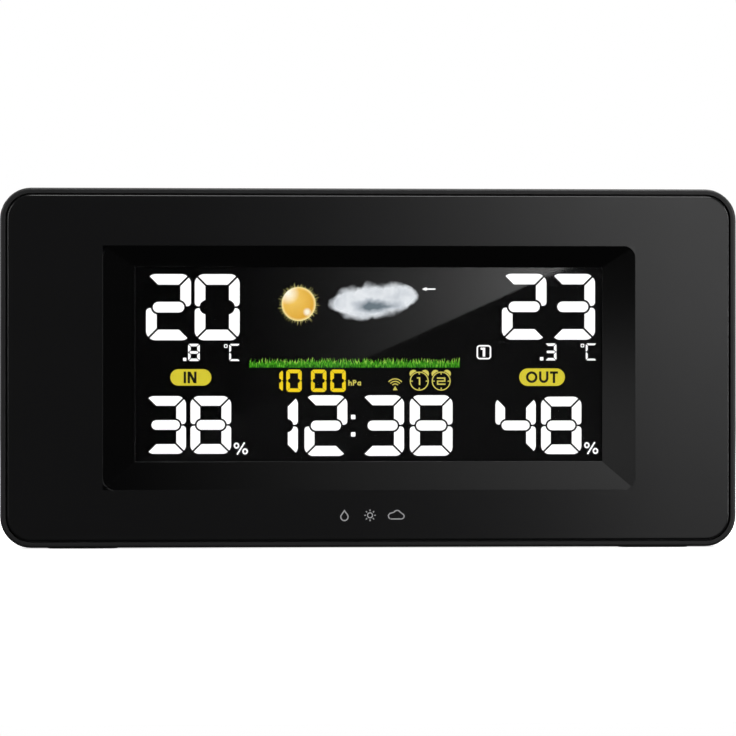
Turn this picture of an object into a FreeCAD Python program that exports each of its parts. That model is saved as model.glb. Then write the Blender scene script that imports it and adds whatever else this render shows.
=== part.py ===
"""Home weather station console: three-part black case, colour display stack, circuit board,
rear keys, top snooze key, three-cell battery bay with a swinging door, and a fold-out foot.

Row frame, millimetres: +X to the right of someone facing the display, +Y away from them,
+Z up. The origin is on the table, at the centre of the footprint with the foot folded out.
Most places along Y are given as a depth behind the front face of the fascia.
"""

import FreeCAD, Part
import math
import os

from FreeCAD import Vector

# ---------------------------------------------------------------- driving dimensions
WIDTH, HEIGHT, DEPTH = 190.0, 92.5, 27.0
CORNER_R = 8.0
RIM_FILLET, REAR_FILLET, LIP_CHAMFER = 0.7, 3.0, 0.25
WALL = 2.0
BASE_Z = 0.3                       # the case stands on rubber pads this proud
MID_Z = BASE_Z + HEIGHT / 2
TOP_Z = BASE_Z + HEIGHT
SPLIT = 11.0                       # depth of the parting line between the two case halves
FOOT_REACH = 34.0                  # from the foot's hinge axis to its tip
FOOT_AXIS_IN = 2.6                 # the hinge axis lies this far inside the rear face
FRONT_Y = -(DEPTH - FOOT_AXIS_IN + FOOT_REACH) / 2

# front case and fascia
RIM_D, RIM_W = 0.4, 1.4            # the rim stands back from the fascia, and its width
GROOVE = 0.45                      # gap all round the fascia
FASCIA_T = 2.0
FASCIA_BACK = 3.0                  # depth of the thick collar round the window
TRAY_FLOOR, TRAY_BACK = 2.2, 3.8
TRAY_OPEN_W, TRAY_OPEN_H, TRAY_OPEN_R = 142.6, 68.2, 4.4
REBATE = 1.0                       # half of the wall, where the case halves lap
REBATE_DEEP, TONGUE_DEEP, LAP_GAP = 1.7, 1.5, 0.1
FASCIA_FILLET, COLLAR_W = 0.45, 2.0
TAPE_W, TAPE_H, TAPE_R = 184.0, 86.6, 5.2
TAPE_OPEN_W, TAPE_OPEN_H, TAPE_OPEN_R = 150.0, 75.0, 4.0

# display window
WINDOW_W, WINDOW_H, WINDOW_R = 137.4, 62.9, 3.0
VIEW_W, VIEW_H = 120.8, 50.2
VIEW_Z = MID_Z + 0.9               # the visible display sits a little above the middle
RECESS_D = 2.6

# display stack: depth of the front and back of each layer
GASKET_D, LENS_D, LENS_BACK = 3.0, 3.2, 4.7
FRONT_POLARISER, REAR_POLARISER = (4.9, 5.1), (7.3, 7.5)
FRONT_GLASS, REAR_GLASS = (5.1, 6.2), (6.2, 7.3)
COLOUR_FILM, DIFFUSER, GUIDE, REFLECTOR = (7.55, 7.7), (7.75, 7.95), (8.0, 10.3), (10.35, 10.5)
LENS_W, LENS_H, LENS_R, GASKET_RIM = 126.0, 55.4, 1.0, 1.8
GLASS_W, FRONT_GLASS_H, REAR_GLASS_H = 124.0, 53.2, 57.6
POLARISER_W, POLARISER_H = 123.0, 52.2
FILM_W, FILM_H, SHEET_R = 122.0, 51.6, 0.3
GUIDE_W, GUIDE_H = 120.4, 52.0
LED_COUNT, LED_PITCH, LED_HALF, LED_DEEP, LED_D = 6, 8.0, 1.7, 1.0, (8.4, 9.8)
STRIP_T, STRIP_HALF, STRIP_BACK = 0.8, 24.0, 10.2
PIN_COUNT, PIN_PITCH, PIN_OFF_MID = 34, 3.4, 27.9
HOLDER_W, HOLDER_H, HOLDER_R, HOLDER_D = 131.0, 62.0, 1.5, (5.2, 10.7)
POCKET_W, POCKET_H, POCKET_R = 125.0, 58.4, 0.8
EAR_HALF = 2.6

# circuit board
PCB_D, PCB_T = 10.8, 1.2
PCB_BACK = PCB_D + PCB_T
PCB_X = 77.0
PCB_LOW, PCB_HIGH = MID_Z - 36.5, MID_Z + 37.5
PCB_SCREW_X, PCB_SCREW_Z = 73.5, 33.0
SCREW_R, SCREW_CLEAR_R = 1.0, 1.2
BOARD_HEAD_R, BOARD_HEAD_T, BOARD_SLOT_T, BOARD_SLOT_HALF = 2.0, 1.1, 0.5, 1.2
CHIP_X, CHIP_Z, CHIP_HALF = -10.0, 47.0, 6.0
LEADS_A_SIDE, LEAD_PITCH, LEAD_OUT, LEAD_T = 12, 0.9, 1.3, 0.25
CAPACITOR_PLACES = ((60.0, 68.0), (68.0, 68.0), (60.0, 76.5))
CAPACITOR_R, CAPACITOR_TALL = 3.15, 7.5
CRYSTAL_X, CRYSTAL_Z, CRYSTAL_LONG, CRYSTAL_R = 6.0, 40.0, 8.0, 1.5
PRESSURE_X, PRESSURE_Z, PRESSURE_R, PRESSURE_TALL = -70.0, 58.0, 2.6, 2.2
CLIMATE_X, CLIMATE_Z, CLIMATE_W, CLIMATE_H, CLIMATE_TALL = -71.0, 45.0, 7.0, 10.0, 4.0

# radio receiver and aerials
RADIO_X0, RADIO_X1, RADIO_Z0, RADIO_Z1 = -70.0, -46.0, 68.0, 82.0
RADIO_D, RADIO_BACK = 14.0, 15.0
RADIO_PINS, RADIO_PIN_X, RADIO_PIN_Z, RADIO_PIN_PITCH = 4, -67.7, 69.5, 2.54
AERIAL_X, AERIAL_D, AERIAL_Z = -38.0, 17.2, 70.0
AERIAL_TURNS, AERIAL_PITCH, AERIAL_R, AERIAL_WIRE_R = 7, 1.5, 2.2, 0.35

# case screws
TOWER_X, TOWER_IN = 87.5, 8.9
TOWER_R, POST_R = 3.6, 3.0
CASE_SCREW_R, CASE_SCREW_HOLE_R, CASE_HEAD_R = 1.3, 1.5, 2.5
CASE_SCREW_TIP, HEAD_SEAT, HEAD_BACK, POST_BACK = 11.0, 22.0, 23.8, 20.0
PCB_POST_R, RIB_HALF, RIB_BACK, SHORT_RIB_BACK = 2.4, 0.6, 9.0, 7.5

# rubber pads under the case
PAD_X, PAD_DEPTHS = 74.0, (6.0, 19.0)
PAD_HALF, PAD_R, PAD_SUNK, PAD_GAP = 9.0, 2.4, 0.7, 0.05

# rear keys
KEY_COUNT, KEY_PITCH, KEY_Z = 6, 18.0, 63.0
KEY_W, KEY_H, KEY_GAP = 10.0, 6.0, 0.2
KEY_FACE, KEY_BACK, KEY_R, FLANGE_OUT = DEPTH - 0.3, 23.6, 1.2, 1.0
KEY_DISH_R, KEY_DISH_DEEP = 14.0, 0.35
PLUNGER_R, PLUNGER_TIP, STEM_TIP = 1.7, 19.6, 14.6
SWITCH_HALF, SWITCH_BACK, SWITCH_GAP = 3.0, 15.6, 0.1
CHANNEL_D, CHANNEL_EDGE, CHANNEL_R = 1.0, 2.5, 5.4
KEY_NAMES = ("set", "up", "down", "alarm", "channel", "memory")

# snooze key on top
SNOOZE_HALF, SNOOZE_D0, SNOOZE_D1 = 23.0, 12.6, 21.4
SNOOZE_PROUD = 0.3
SNOOZE_STEM_D, SNOOZE_STEM_R = 14.4, 1.5
SNOOZE_STEM_Z0, SNOOZE_STEM_Z1, SNOOZE_GUIDE_X = 81.6, 85.6, 17.0
SNOOZE_DOT_PITCH, SNOOZE_DOT_R, SNOOZE_DOT_TALL = 3.0, 0.6, 0.2

# battery bay for three AAA cells
BAY_X0, BAY_X1, BAY_Z0, BAY_Z1 = 33.0, 82.0, 10.0, 43.5
BAY_FLOOR = 14.2
BAY_WALL = 2.0
CELL_R, CELL_LONG, NUB_LONG, NUB_R = 5.2, 44.5, 0.9, 1.8
CELL_D = BAY_FLOOR + CELL_R + 0.1  # depth of the cells' own axes
PLATE_T, PLATE_HALF = 0.4, 4.2
TAB_D, TAB_OUT = 21.3, 3.4
DOOR_T, DOOR_LEDGE, DOOR_GAP = 1.6, 1.5, 0.2
DOOR_AXIS_D, DOOR_AXIS_Z = DEPTH - 0.9, BAY_Z0 - 0.5
DOOR_SEAT_R = 0.5
DOOR_TABS_X, DOOR_TAB_HALF = (46.0, 69.0), 3.0
DOOR_NOTCH_HALF, DOOR_NOTCH_R = 7.0, 3.0
DOOR_RIBS, DOOR_RIB_PITCH, DOOR_RIB_DEEP = 5, 1.8, 0.35
LEAD_R = 0.6

# fold-out foot
FOOT_HALF, FOOT_GAP = 28.5, 0.5
FOOT_AXIS_D, FOOT_AXIS_Z = DEPTH - FOOT_AXIS_IN, 2.9
KNUCKLE_R, KNUCKLE_IN = 2.3, 16.0
FOOT_SLAB = 2.6
FOOT_PIN_R, FOOT_PIN_CLEAR = 1.0, 0.05
RECESS_FLOOR, GROOVE_FLOOR = 22.4, 19.5
RECESS_TOP, RECESS_MAIN_TOP, RECESS_R, NOTCH_HALF, NOTCH_R = 43.0, 38.0, 3.0, 9.0, 2.5
FOOT_CORNER_R, FOOT_FILLET = 6.0, 0.5
FOOT_PAD_HALF, FOOT_PAD_IN, FOOT_PAD_OUT, FOOT_PAD_SUNK = 20.0, 8.0, 2.0, 0.4
FOOT_POCKETS_X, FOOT_POCKET_W, FOOT_POCKET_LONG = (-17.5, 0.0, 17.5), 15.0, 20.0
FOOT_POCKET_MID, FOOT_POCKET_DEEP, FOOT_POCKET_R = 18.0, 1.2, 1.5

# wall-hanging keyhole
KEYHOLE_Z, KEYHOLE_R, KEYHOLE_SLOT_R, KEYHOLE_RISE = 76.0, 4.0, 2.1, 7.0

# power inlet
JACK_X, JACK_Z = -62.0, 16.0
JACK_HALF, JACK_COLLAR_R, JACK_BORE_R, JACK_PIN_R = 4.8, 4.3, 2.9, 1.05

# sounder, vents and time-signal aerial
BUZZER_X, BUZZER_Z, BUZZER_R, BUZZER_TALL = -46.0, 30.0, 6.0, 8.5
BUZZER_SLOTS, BUZZER_SLOT_PITCH = 5, 3.0
VENTS, VENT_X, VENT_Z, VENT_PITCH, VENT_LONG, VENT_WIDE = 9, -78.0, 30.0, 4.0, 16.0, 1.6
SIDE_VENTS, SIDE_VENT_Z, SIDE_VENT_PITCH, SIDE_VENT_D = 8, 24.0, 6.0, (15.0, 21.0)
ANTENNA_X, ANTENNA_D, ANTENNA_Z0, ANTENNA_Z1, ANTENNA_R = -84.0, 17.0, 21.0, 73.0, 3.6
WINDING_Z0, WINDING_Z1, WINDING_R = 36.0, 56.0, 4.5
CRADLES_Z, CRADLE_HALF, CRADLE_LONG = (25.0, 66.0), 4.5, 3.0
PAST = 1.0                         # how far a cutting tool runs past the surface it cuts

OUT = "parts"


# ---------------------------------------------------------------- helpers
def y(depth):
    """Row-frame Y of a depth behind the fascia's front face."""
    return FRONT_Y + depth


def block(x0, x1, d0, d1, z0, z1):
    """Box between two widths, two depths and two heights."""
    return Part.makeBox(x1 - x0, d1 - d0, z1 - z0, Vector(x0, y(d0), z0))


def rod_y(x, z, radius, d0, d1):
    """Cylinder that runs front to back."""
    return Part.makeCylinder(radius, d1 - d0, Vector(x, y(d0), z), Vector(0, 1, 0))


def rod_x(x0, x1, depth, z, radius):
    """Cylinder that runs left to right."""
    return Part.makeCylinder(radius, x1 - x0, Vector(x0, y(depth), z), Vector(1, 0, 0))


def rod_z(x, depth, z0, z1, radius):
    """Cylinder that stands up."""
    return Part.makeCylinder(radius, z1 - z0, Vector(x, y(depth), z0), Vector(0, 0, 1))


def rounded_face(width, height, radius, depth, x_mid=0.0, z_mid=MID_Z):
    """Rectangle with round corners in a plane of one depth."""
    hx, hz, r = width / 2, height / 2, radius
    edges = []
    corners = ((1, -1, 270), (1, 1, 0), (-1, 1, 90), (-1, -1, 180))
    ends = []
    for sx, sz, start in corners:
        centre = Vector(x_mid + sx * (hx - r), y(depth), z_mid + sz * (hz - r))
        points = [
            centre + Vector(r * math.cos(math.radians(a)), 0, r * math.sin(math.radians(a)))
            for a in (start, start + 45, start + 90)
        ]
        edges.append(Part.Arc(*points).toShape())
        ends.append((points[0], points[2]))
    for i in range(4):
        edges.append(Part.LineSegment(ends[i][1], ends[(i + 1) % 4][0]).toShape())
    return Part.Face(Part.Wire(Part.__sortEdges__(edges)))


def rounded_plate(width, height, radius, d0, d1, x_mid=0.0, z_mid=MID_Z):
    """Plate with round corners between two depths."""
    face = rounded_face(width, height, radius, d0, x_mid, z_mid)
    return face.extrude(Vector(0, d1 - d0, 0))


def rectangle(width, height, depth, z_mid):
    """Closed outline with sharp corners in a plane of one depth."""
    turns = ((-1, -1), (1, -1), (1, 1), (-1, 1), (-1, -1))
    return Part.makePolygon([Vector(sx * width / 2, y(depth), z_mid + sz * height / 2) for sx, sz in turns])


def slab(x0, x1, d0, d1, z0, z1, radius):
    """Plate with round corners, given by its edges."""
    return rounded_plate(x1 - x0, z1 - z0, radius, d0, d1, (x0 + x1) / 2, (z0 + z1) / 2)


def slot_cut(x_mid, z_mid, length, width, d0, d1, upright=False):
    """Round-ended slot through the depth given."""
    w, h = (width, length) if upright else (length, width)
    return rounded_plate(w, h, width / 2 - 0.001, d0, d1, x_mid, z_mid)


def edges_at_depth(shape, depth):
    """Edges that lie wholly in one depth plane."""
    place = y(depth)
    return [e for e in shape.Edges
            if abs(e.BoundBox.YMin - place) < 1e-4 and abs(e.BoundBox.YMax - place) < 1e-4]


def fuse(first, *others):
    return first.multiFuse(list(others)) if others else first


def cut(shape, *tools):
    return shape.cut(Part.makeCompound(list(tools))) if tools else shape


def group(solids):
    return Part.makeCompound(solids)


def save(name, shape):
    """Writes one node, and stops the build if any solid in it is unsound."""
    solids = shape.Solids
    for solid in solids:
        if not solid.isValid() or solid.Volume <= 0:
            raise SystemExit(f"{name}: unsound solid")
    shape = solids[0] if len(solids) == 1 else Part.makeCompound(solids)
    shape.exportStep(os.path.join(OUT, name + ".step"))
    print(f"{name}: {len(solids)} solid(s), {sum(s.Volume for s in solids):.1f} mm3")


def tower_places():
    return [(sx * TOWER_X, z) for sx in (-1, 1) for z in (BASE_Z + TOWER_IN, TOP_Z - TOWER_IN)]


def pcb_screw_places():
    return [(sx * PCB_SCREW_X, MID_Z + sz * PCB_SCREW_Z) for sx in (-1, 1) for sz in (-1, 1)]


def key_places():
    first = -KEY_PITCH * (KEY_COUNT - 1) / 2
    return [(name, first + i * KEY_PITCH) for i, name in enumerate(KEY_NAMES)]


def cell_heights():
    pitch = (BAY_Z1 - BAY_Z0) / 3
    return [BAY_Z0 + pitch * (i + 0.5) for i in range(3)]


# ---------------------------------------------------------------- case
def pad_places():
    """Middles of the four rubber pads under the case, as (x, depth)."""
    return [(sx * PAD_X, d) for sx in (-1, 1) for d in PAD_DEPTHS]


def pad_shape(x_mid, depth, grow, z0, z1):
    """Round-ended pad, lying flat."""
    half, r = PAD_HALF + grow, PAD_R + grow
    ends = [rod_z(x_mid + s * (half - r), depth, z0, z1, r) for s in (-1, 1)]
    return fuse(block(x_mid - half + r, x_mid + half - r, depth - r, depth + r, z0, z1), *ends)


def base_pads():
    top = BASE_Z + PAD_SUNK
    save("base_pads", group([pad_shape(x, d, 0.0, 0.0, top) for x, d in pad_places()]))


def pad_sockets():
    top = BASE_Z + PAD_SUNK
    return [pad_shape(x, d, PAD_GAP, BASE_Z - PAST, top) for x, d in pad_places()]


def front_ribs(floor):
    """Ribs from the front case's floor: two to each screw post, and short ones along the walls."""
    wall_x, wall_reach = WIDTH / 2 - 1.5, TOWER_IN - 1.5
    ribs = []
    for x, z in tower_places():
        side = math.copysign(wall_x, x)
        far = z + math.copysign(wall_reach, z - MID_Z)
        ribs.append(block(min(x, side), max(x, side), floor, RIB_BACK, z - RIB_HALF, z + RIB_HALF))
        ribs.append(block(x - RIB_HALF, x + RIB_HALF, floor, RIB_BACK, min(z, far), max(z, far)))
    for x in (-45.0, 0.0, 45.0):
        for z0, z1 in ((BASE_Z + 1.5, BASE_Z + 8.0), (TOP_Z - 8.0, TOP_Z - 1.5)):
            ribs.append(block(x - RIB_HALF, x + RIB_HALF, floor, SHORT_RIB_BACK, z0, z1))
    return ribs


def front_case():
    """Front half of the case: side walls, rim, tray for the fascia, and its screw posts."""
    body = rounded_plate(WIDTH, HEIGHT, CORNER_R, RIM_D, SPLIT)
    body = body.makeFillet(RIM_FILLET, edges_at_depth(body, RIM_D))
    body = body.makeChamfer(LIP_CHAMFER, edges_at_depth(body, SPLIT))
    tray = rounded_plate(WIDTH - 2 * RIM_W, HEIGHT - 2 * RIM_W, CORNER_R - RIM_W, -PAST, TRAY_FLOOR)
    hollow = rounded_plate(WIDTH - 2 * WALL, HEIGHT - 2 * WALL, CORNER_R - WALL,
                           TRAY_BACK, SPLIT + PAST)
    rebate = rounded_plate(WIDTH - 2 * REBATE, HEIGHT - 2 * REBATE, CORNER_R - REBATE,
                           SPLIT - REBATE_DEEP, SPLIT + PAST)
    opening = rounded_plate(TRAY_OPEN_W, TRAY_OPEN_H, TRAY_OPEN_R, 0, TRAY_BACK + PAST)
    body = cut(body, tray, hollow, rebate, opening)
    floor = TRAY_BACK - 0.5
    posts = [rod_y(x, z, POST_R, floor, POST_BACK) for x, z in tower_places()]
    posts += [rod_y(x, z, PCB_POST_R, floor, PCB_D - 1.4) for x, z in pcb_screw_places()]
    body = fuse(body, *posts, *front_ribs(floor))
    holes = [rod_y(x, z, CASE_SCREW_R, CASE_SCREW_TIP - 1.5, POST_BACK + PAST) for x, z in tower_places()]
    holes += [rod_y(x, z, SCREW_R, 5.0, PCB_D) for x, z in pcb_screw_places()]
    body = cut(body, *holes, *pad_sockets()).removeSplitter()
    save("front_case", body)


def fascia():
    """Inlaid front panel, with a collar round the window and four flat flanks leading in."""
    plate = rounded_plate(WIDTH - 2 * (RIM_W + GROOVE), HEIGHT - 2 * (RIM_W + GROOVE),
                          CORNER_R - RIM_W - GROOVE, 0, FASCIA_T)
    plate = plate.makeFillet(FASCIA_FILLET, edges_at_depth(plate, 0))
    collar = rounded_plate(WINDOW_W + 2 * COLLAR_W, WINDOW_H + 2 * COLLAR_W, WINDOW_R + 1.0,
                           FASCIA_T / 2, FASCIA_BACK)
    body = fuse(plate, collar).removeSplitter()
    mouth = rectangle(WINDOW_W, WINDOW_H, 0, MID_Z)
    inner = rectangle(VIEW_W, VIEW_H, RECESS_D, VIEW_Z)
    flanks = Part.makeLoft([mouth, inner], True, True)
    flanks = flanks.common(rounded_plate(WINDOW_W, WINDOW_H, WINDOW_R, -PAST, RECESS_D + PAST))
    through = block(-VIEW_W / 2, VIEW_W / 2, RECESS_D - 0.2, FASCIA_BACK + PAST,
                    VIEW_Z - VIEW_H / 2, VIEW_Z + VIEW_H / 2)
    body = cut(body, flanks, through)
    save("fascia", body)


def fascia_tape():
    """Double-sided tape that holds the fascia in its tray."""
    outer = rounded_plate(TAPE_W, TAPE_H, TAPE_R, FASCIA_T, TRAY_FLOOR)
    inner = rounded_plate(TAPE_OPEN_W, TAPE_OPEN_H, TAPE_OPEN_R, FASCIA_T - PAST, TRAY_FLOOR + PAST)
    save("fascia_tape", outer.cut(inner))


def bay_shell():
    return block(BAY_X0 - BAY_WALL, BAY_X1 + BAY_WALL, BAY_FLOOR - 1.0, DEPTH - 1,
                 BAY_Z0 - BAY_WALL, BAY_Z1 + BAY_WALL)


def door_cuts():
    """Bay, door seat, hook slots and nail notch."""
    cuts = [block(BAY_X0, BAY_X1, BAY_FLOOR, DEPTH + PAST, BAY_Z0, BAY_Z1)]
    cuts.append(slab(BAY_X0 - DOOR_LEDGE, BAY_X1 + DOOR_LEDGE, DEPTH - DOOR_T - DOOR_GAP, DEPTH + PAST,
                     BAY_Z0 - DOOR_LEDGE, BAY_Z1 + DOOR_LEDGE, DOOR_SEAT_R))
    half = DOOR_TAB_HALF + 0.4
    for x in DOOR_TABS_X:
        cuts.append(block(x - half, x + half, 21.6, DEPTH - WALL, BAY_Z0 - 3.4, BAY_Z0 + 1))
        cuts.append(block(x - half, x + half, DEPTH - WALL - 0.4, DEPTH - 1.5, BAY_Z0 - DOOR_LEDGE,
                          BAY_Z0 + 1))
    mid = (BAY_X0 + BAY_X1) / 2
    cuts.append(rod_x(mid - DOOR_NOTCH_HALF, mid + DOOR_NOTCH_HALF, DEPTH + 2.0,
                      BAY_Z1 + DOOR_LEDGE + 1.2, DOOR_NOTCH_R))
    return cuts


def foot_recess_shell():
    half = FOOT_HALF + FOOT_GAP
    pocket = block(-half - 1.5, half + 1.5, RECESS_FLOOR - 1.5, DEPTH - 1, BASE_Z + 1,
                   RECESS_TOP + 1.5)
    cheeks = block(-half - 1.9, half + 1.9, GROOVE_FLOOR - 1.5, DEPTH - 0.5, BASE_Z + 0.2, 8.5)
    return [pocket, cheeks]


def foot_recess_cuts():
    half = FOOT_HALF + FOOT_GAP
    ceiling = FOOT_AXIS_Z + KNUCKLE_R + 0.15
    return [
        block(-half, half, RECESS_FLOOR, DEPTH + PAST, -PAST, RECESS_MAIN_TOP - 8.0),
        slab(-half, half, RECESS_FLOOR, DEPTH + PAST, RECESS_MAIN_TOP - 18.0, RECESS_MAIN_TOP, RECESS_R),
        block(-half, half, GROOVE_FLOOR, DEPTH + PAST, -PAST, ceiling),
        slab(-NOTCH_HALF, NOTCH_HALF, RECESS_FLOOR, DEPTH + PAST, RECESS_MAIN_TOP - 4.0, RECESS_TOP, NOTCH_R),
        rod_x(-half - 1.9 + 0.2, half + 1.9 - 0.2, FOOT_AXIS_D, FOOT_AXIS_Z, FOOT_PIN_R),
    ]


def key_channel_cuts():
    """Shallow channel along the back for the keys, and a window for each cap."""
    half = (KEY_PITCH * (KEY_COUNT - 1) + KEY_W) / 2 + CHANNEL_EDGE
    reach = KEY_H / 2 + CHANNEL_EDGE
    cuts = [slab(-half, half, DEPTH - CHANNEL_D, DEPTH + PAST, KEY_Z - reach, KEY_Z + reach, CHANNEL_R)]
    wide, tall = KEY_W / 2 + KEY_GAP, KEY_H / 2 + KEY_GAP
    for _, x in key_places():
        cuts.append(slab(x - wide, x + wide, DEPTH - 3, DEPTH + PAST, KEY_Z - tall, KEY_Z + tall,
                         KEY_R + KEY_GAP))
    return cuts


def keyhole_cuts():
    """Round entry for a screw head, and the slot its shank rises into."""
    long, wide = KEYHOLE_RISE + 2 * KEYHOLE_SLOT_R, 2 * KEYHOLE_SLOT_R
    return [
        rod_y(0, KEYHOLE_Z, KEYHOLE_R, DEPTH - 3, DEPTH + PAST),
        slot_cut(0, KEYHOLE_Z + KEYHOLE_RISE / 2, long, wide, DEPTH - 3, DEPTH + PAST, upright=True),
    ]


def vent_cuts():
    """Slots for the sensors, for the sounder, and in the side wall."""
    cuts = [slot_cut(VENT_X, VENT_Z + VENT_PITCH * i, VENT_LONG, VENT_WIDE, DEPTH - 3, DEPTH + PAST)
            for i in range(VENTS)]
    for i in range(BUZZER_SLOTS):
        off = i - BUZZER_SLOTS // 2
        cuts.append(slot_cut(BUZZER_X, BUZZER_Z + BUZZER_SLOT_PITCH * off, 10.0 - 2.5 * abs(off), 1.4,
                             DEPTH - 3, DEPTH + PAST))
    for i in range(SIDE_VENTS):
        z = SIDE_VENT_Z + SIDE_VENT_PITCH * i
        cuts.append(block(-WIDTH / 2 - PAST, -WIDTH / 2 + 3, *SIDE_VENT_D, z, z + VENT_WIDE))
    return cuts


def rear_case():
    """Rear half of the case: back wall, bay, foot recess, key channel, vents, keyhole."""
    body = rounded_plate(WIDTH, HEIGHT, CORNER_R, SPLIT, DEPTH)
    body = body.makeFillet(REAR_FILLET, edges_at_depth(body, DEPTH))
    body = body.makeChamfer(LIP_CHAMFER, edges_at_depth(body, SPLIT))
    hollow = rounded_plate(WIDTH - 2 * WALL, HEIGHT - 2 * WALL, CORNER_R - WALL,
                           SPLIT - 1, DEPTH - WALL)
    body = body.cut(hollow)
    inset = REBATE + LAP_GAP
    tongue = rounded_plate(WIDTH - 2 * inset, HEIGHT - 2 * inset, CORNER_R - inset,
                           SPLIT - TONGUE_DEEP, SPLIT + 0.6)
    tongue = tongue.cut(rounded_plate(WIDTH - 2 * WALL, HEIGHT - 2 * WALL, CORNER_R - WALL,
                                      SPLIT - 3, SPLIT + 2))
    inside = DEPTH - 1.0
    adds = [tongue, bay_shell(), *foot_recess_shell()]
    adds += [rod_y(x, z, TOWER_R, 20.2, inside) for x, z in tower_places()]
    adds += [block(ANTENNA_X - CRADLE_HALF, ANTENNA_X + CRADLE_HALF, ANTENNA_D, inside, z, z + CRADLE_LONG)
             for z in CRADLES_Z]
    body = fuse(body, *adds)

    cuts = door_cuts() + foot_recess_cuts() + pad_sockets() + contact_tab_slots()
    for x, z in tower_places():
        cuts.append(rod_y(x, z, CASE_SCREW_HOLE_R, POST_BACK - PAST, DEPTH))
        cuts.append(rod_y(x, z, CASE_HEAD_R + 0.4, HEAD_SEAT, DEPTH + PAST))
    cuts.append(rod_z(ANTENNA_X, ANTENNA_D, ANTENNA_Z0 - PAST, ANTENNA_Z1 + PAST, ANTENNA_R + 0.1))
    cuts += key_channel_cuts() + keyhole_cuts() + vent_cuts()
    cuts.append(rod_y(JACK_X, JACK_Z, JACK_COLLAR_R + 0.15, DEPTH - 3, DEPTH + PAST))
    cuts.append(snooze_plan(KEY_GAP, TOP_Z - 3, TOP_Z + PAST))
    save("rear_case", cut(body, *cuts))


def case_screws():
    """Four pan-head screws with cross recesses, sunk in the back of the case."""
    long, thin, floor = 1.5, 0.35, HEAD_SEAT + 0.8
    screws = []
    for x, z in tower_places():
        head = rod_y(x, z, CASE_HEAD_R, HEAD_SEAT, HEAD_BACK)
        head = head.makeFillet(0.5, edges_at_depth(head, HEAD_BACK))
        screw = fuse(head, rod_y(x, z, CASE_SCREW_R, CASE_SCREW_TIP, HEAD_SEAT + 0.5))
        cross = [block(x - a, x + a, floor, HEAD_BACK + PAST, z - b, z + b)
                 for a, b in ((long, thin), (thin, long))]
        screws.append(cut(screw, *cross).removeSplitter())
    save("case_screws", group(screws))


# ---------------------------------------------------------------- display
def sheet(width, height, radius, depths):
    """Flat sheet centred on the visible display."""
    return rounded_plate(width, height, radius, *depths, 0.0, VIEW_Z)


def display_stack():
    """Lens, its gasket, and every sheet of the display, front to back."""
    save("display_lens", sheet(LENS_W, LENS_H, LENS_R, (LENS_D, LENS_BACK)))
    gasket = sheet(LENS_W, LENS_H, LENS_R, (GASKET_D, LENS_D))
    rim = 2 * GASKET_RIM
    save("lens_gasket", gasket.cut(sheet(LENS_W - rim, LENS_H - rim, LENS_R / 2, (2, 4))))
    save("polarisers", group([sheet(POLARISER_W, POLARISER_H, SHEET_R, depths)
                              for depths in (FRONT_POLARISER, REAR_POLARISER)]))
    save("lcd_front_glass", sheet(GLASS_W, FRONT_GLASS_H, SHEET_R, FRONT_GLASS))
    save("lcd_rear_glass", sheet(GLASS_W, REAR_GLASS_H, SHEET_R, REAR_GLASS))
    save("colour_film", sheet(FILM_W, FILM_H, SHEET_R, COLOUR_FILM))
    save("diffuser_film", sheet(FILM_W, FILM_H, SHEET_R, DIFFUSER))
    save("light_guide", sheet(GUIDE_W, GUIDE_H, SHEET_R, GUIDE))
    save("reflector_film", sheet(FILM_W, GUIDE_H, SHEET_R, REFLECTOR))


def backlight_strips():
    """A strip of six light-emitting diodes at each end of the light guide."""
    near = GUIDE_W / 2 + 0.1
    inner, outer = near + LED_DEEP, near + LED_DEEP + STRIP_T
    made = []
    for s in (-1, 1):
        made.append(block(min(s * inner, s * outer), max(s * inner, s * outer), GUIDE[0], STRIP_BACK,
                          VIEW_Z - STRIP_HALF, VIEW_Z + STRIP_HALF))
        for i in range(LED_COUNT):
            z = VIEW_Z + LED_PITCH * (i - (LED_COUNT - 1) / 2)
            made.append(block(min(s * near, s * inner), max(s * near, s * inner), *LED_D,
                              z - LED_HALF, z + LED_HALF))
    save("backlight_strips", group(made))


def pin_places():
    """Middles of the display's pins, in two rows, as (x, z)."""
    return [((i - (PIN_COUNT - 1) / 2) * PIN_PITCH, VIEW_Z + s * PIN_OFF_MID)
            for s in (-1, 1) for i in range(PIN_COUNT)]


def board_pins():
    """Clip-on pins of the display glass, and the pins that carry the receiver board."""
    clip_half, leg_half, leg_thick, radio_half = 0.25, 0.2, 0.15, 0.3
    pins = []
    for x, z in pin_places():
        clip = block(x - clip_half, x + clip_half, REAR_GLASS[1], REAR_GLASS[1] + 0.3, z - 0.6, z + 0.6)
        leg = block(x - leg_half, x + leg_half, REAR_GLASS[1] + 0.2, PCB_BACK + 0.7,
                    z - leg_thick, z + leg_thick)
        pins.append(clip.fuse(leg).removeSplitter())
    for i in range(RADIO_PINS):
        x = RADIO_PIN_X + RADIO_PIN_PITCH * i
        pins.append(block(x - radio_half, x + radio_half, PCB_BACK, RADIO_D,
                          RADIO_PIN_Z - radio_half, RADIO_PIN_Z + radio_half))
    save("board_pins", group(pins))


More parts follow.
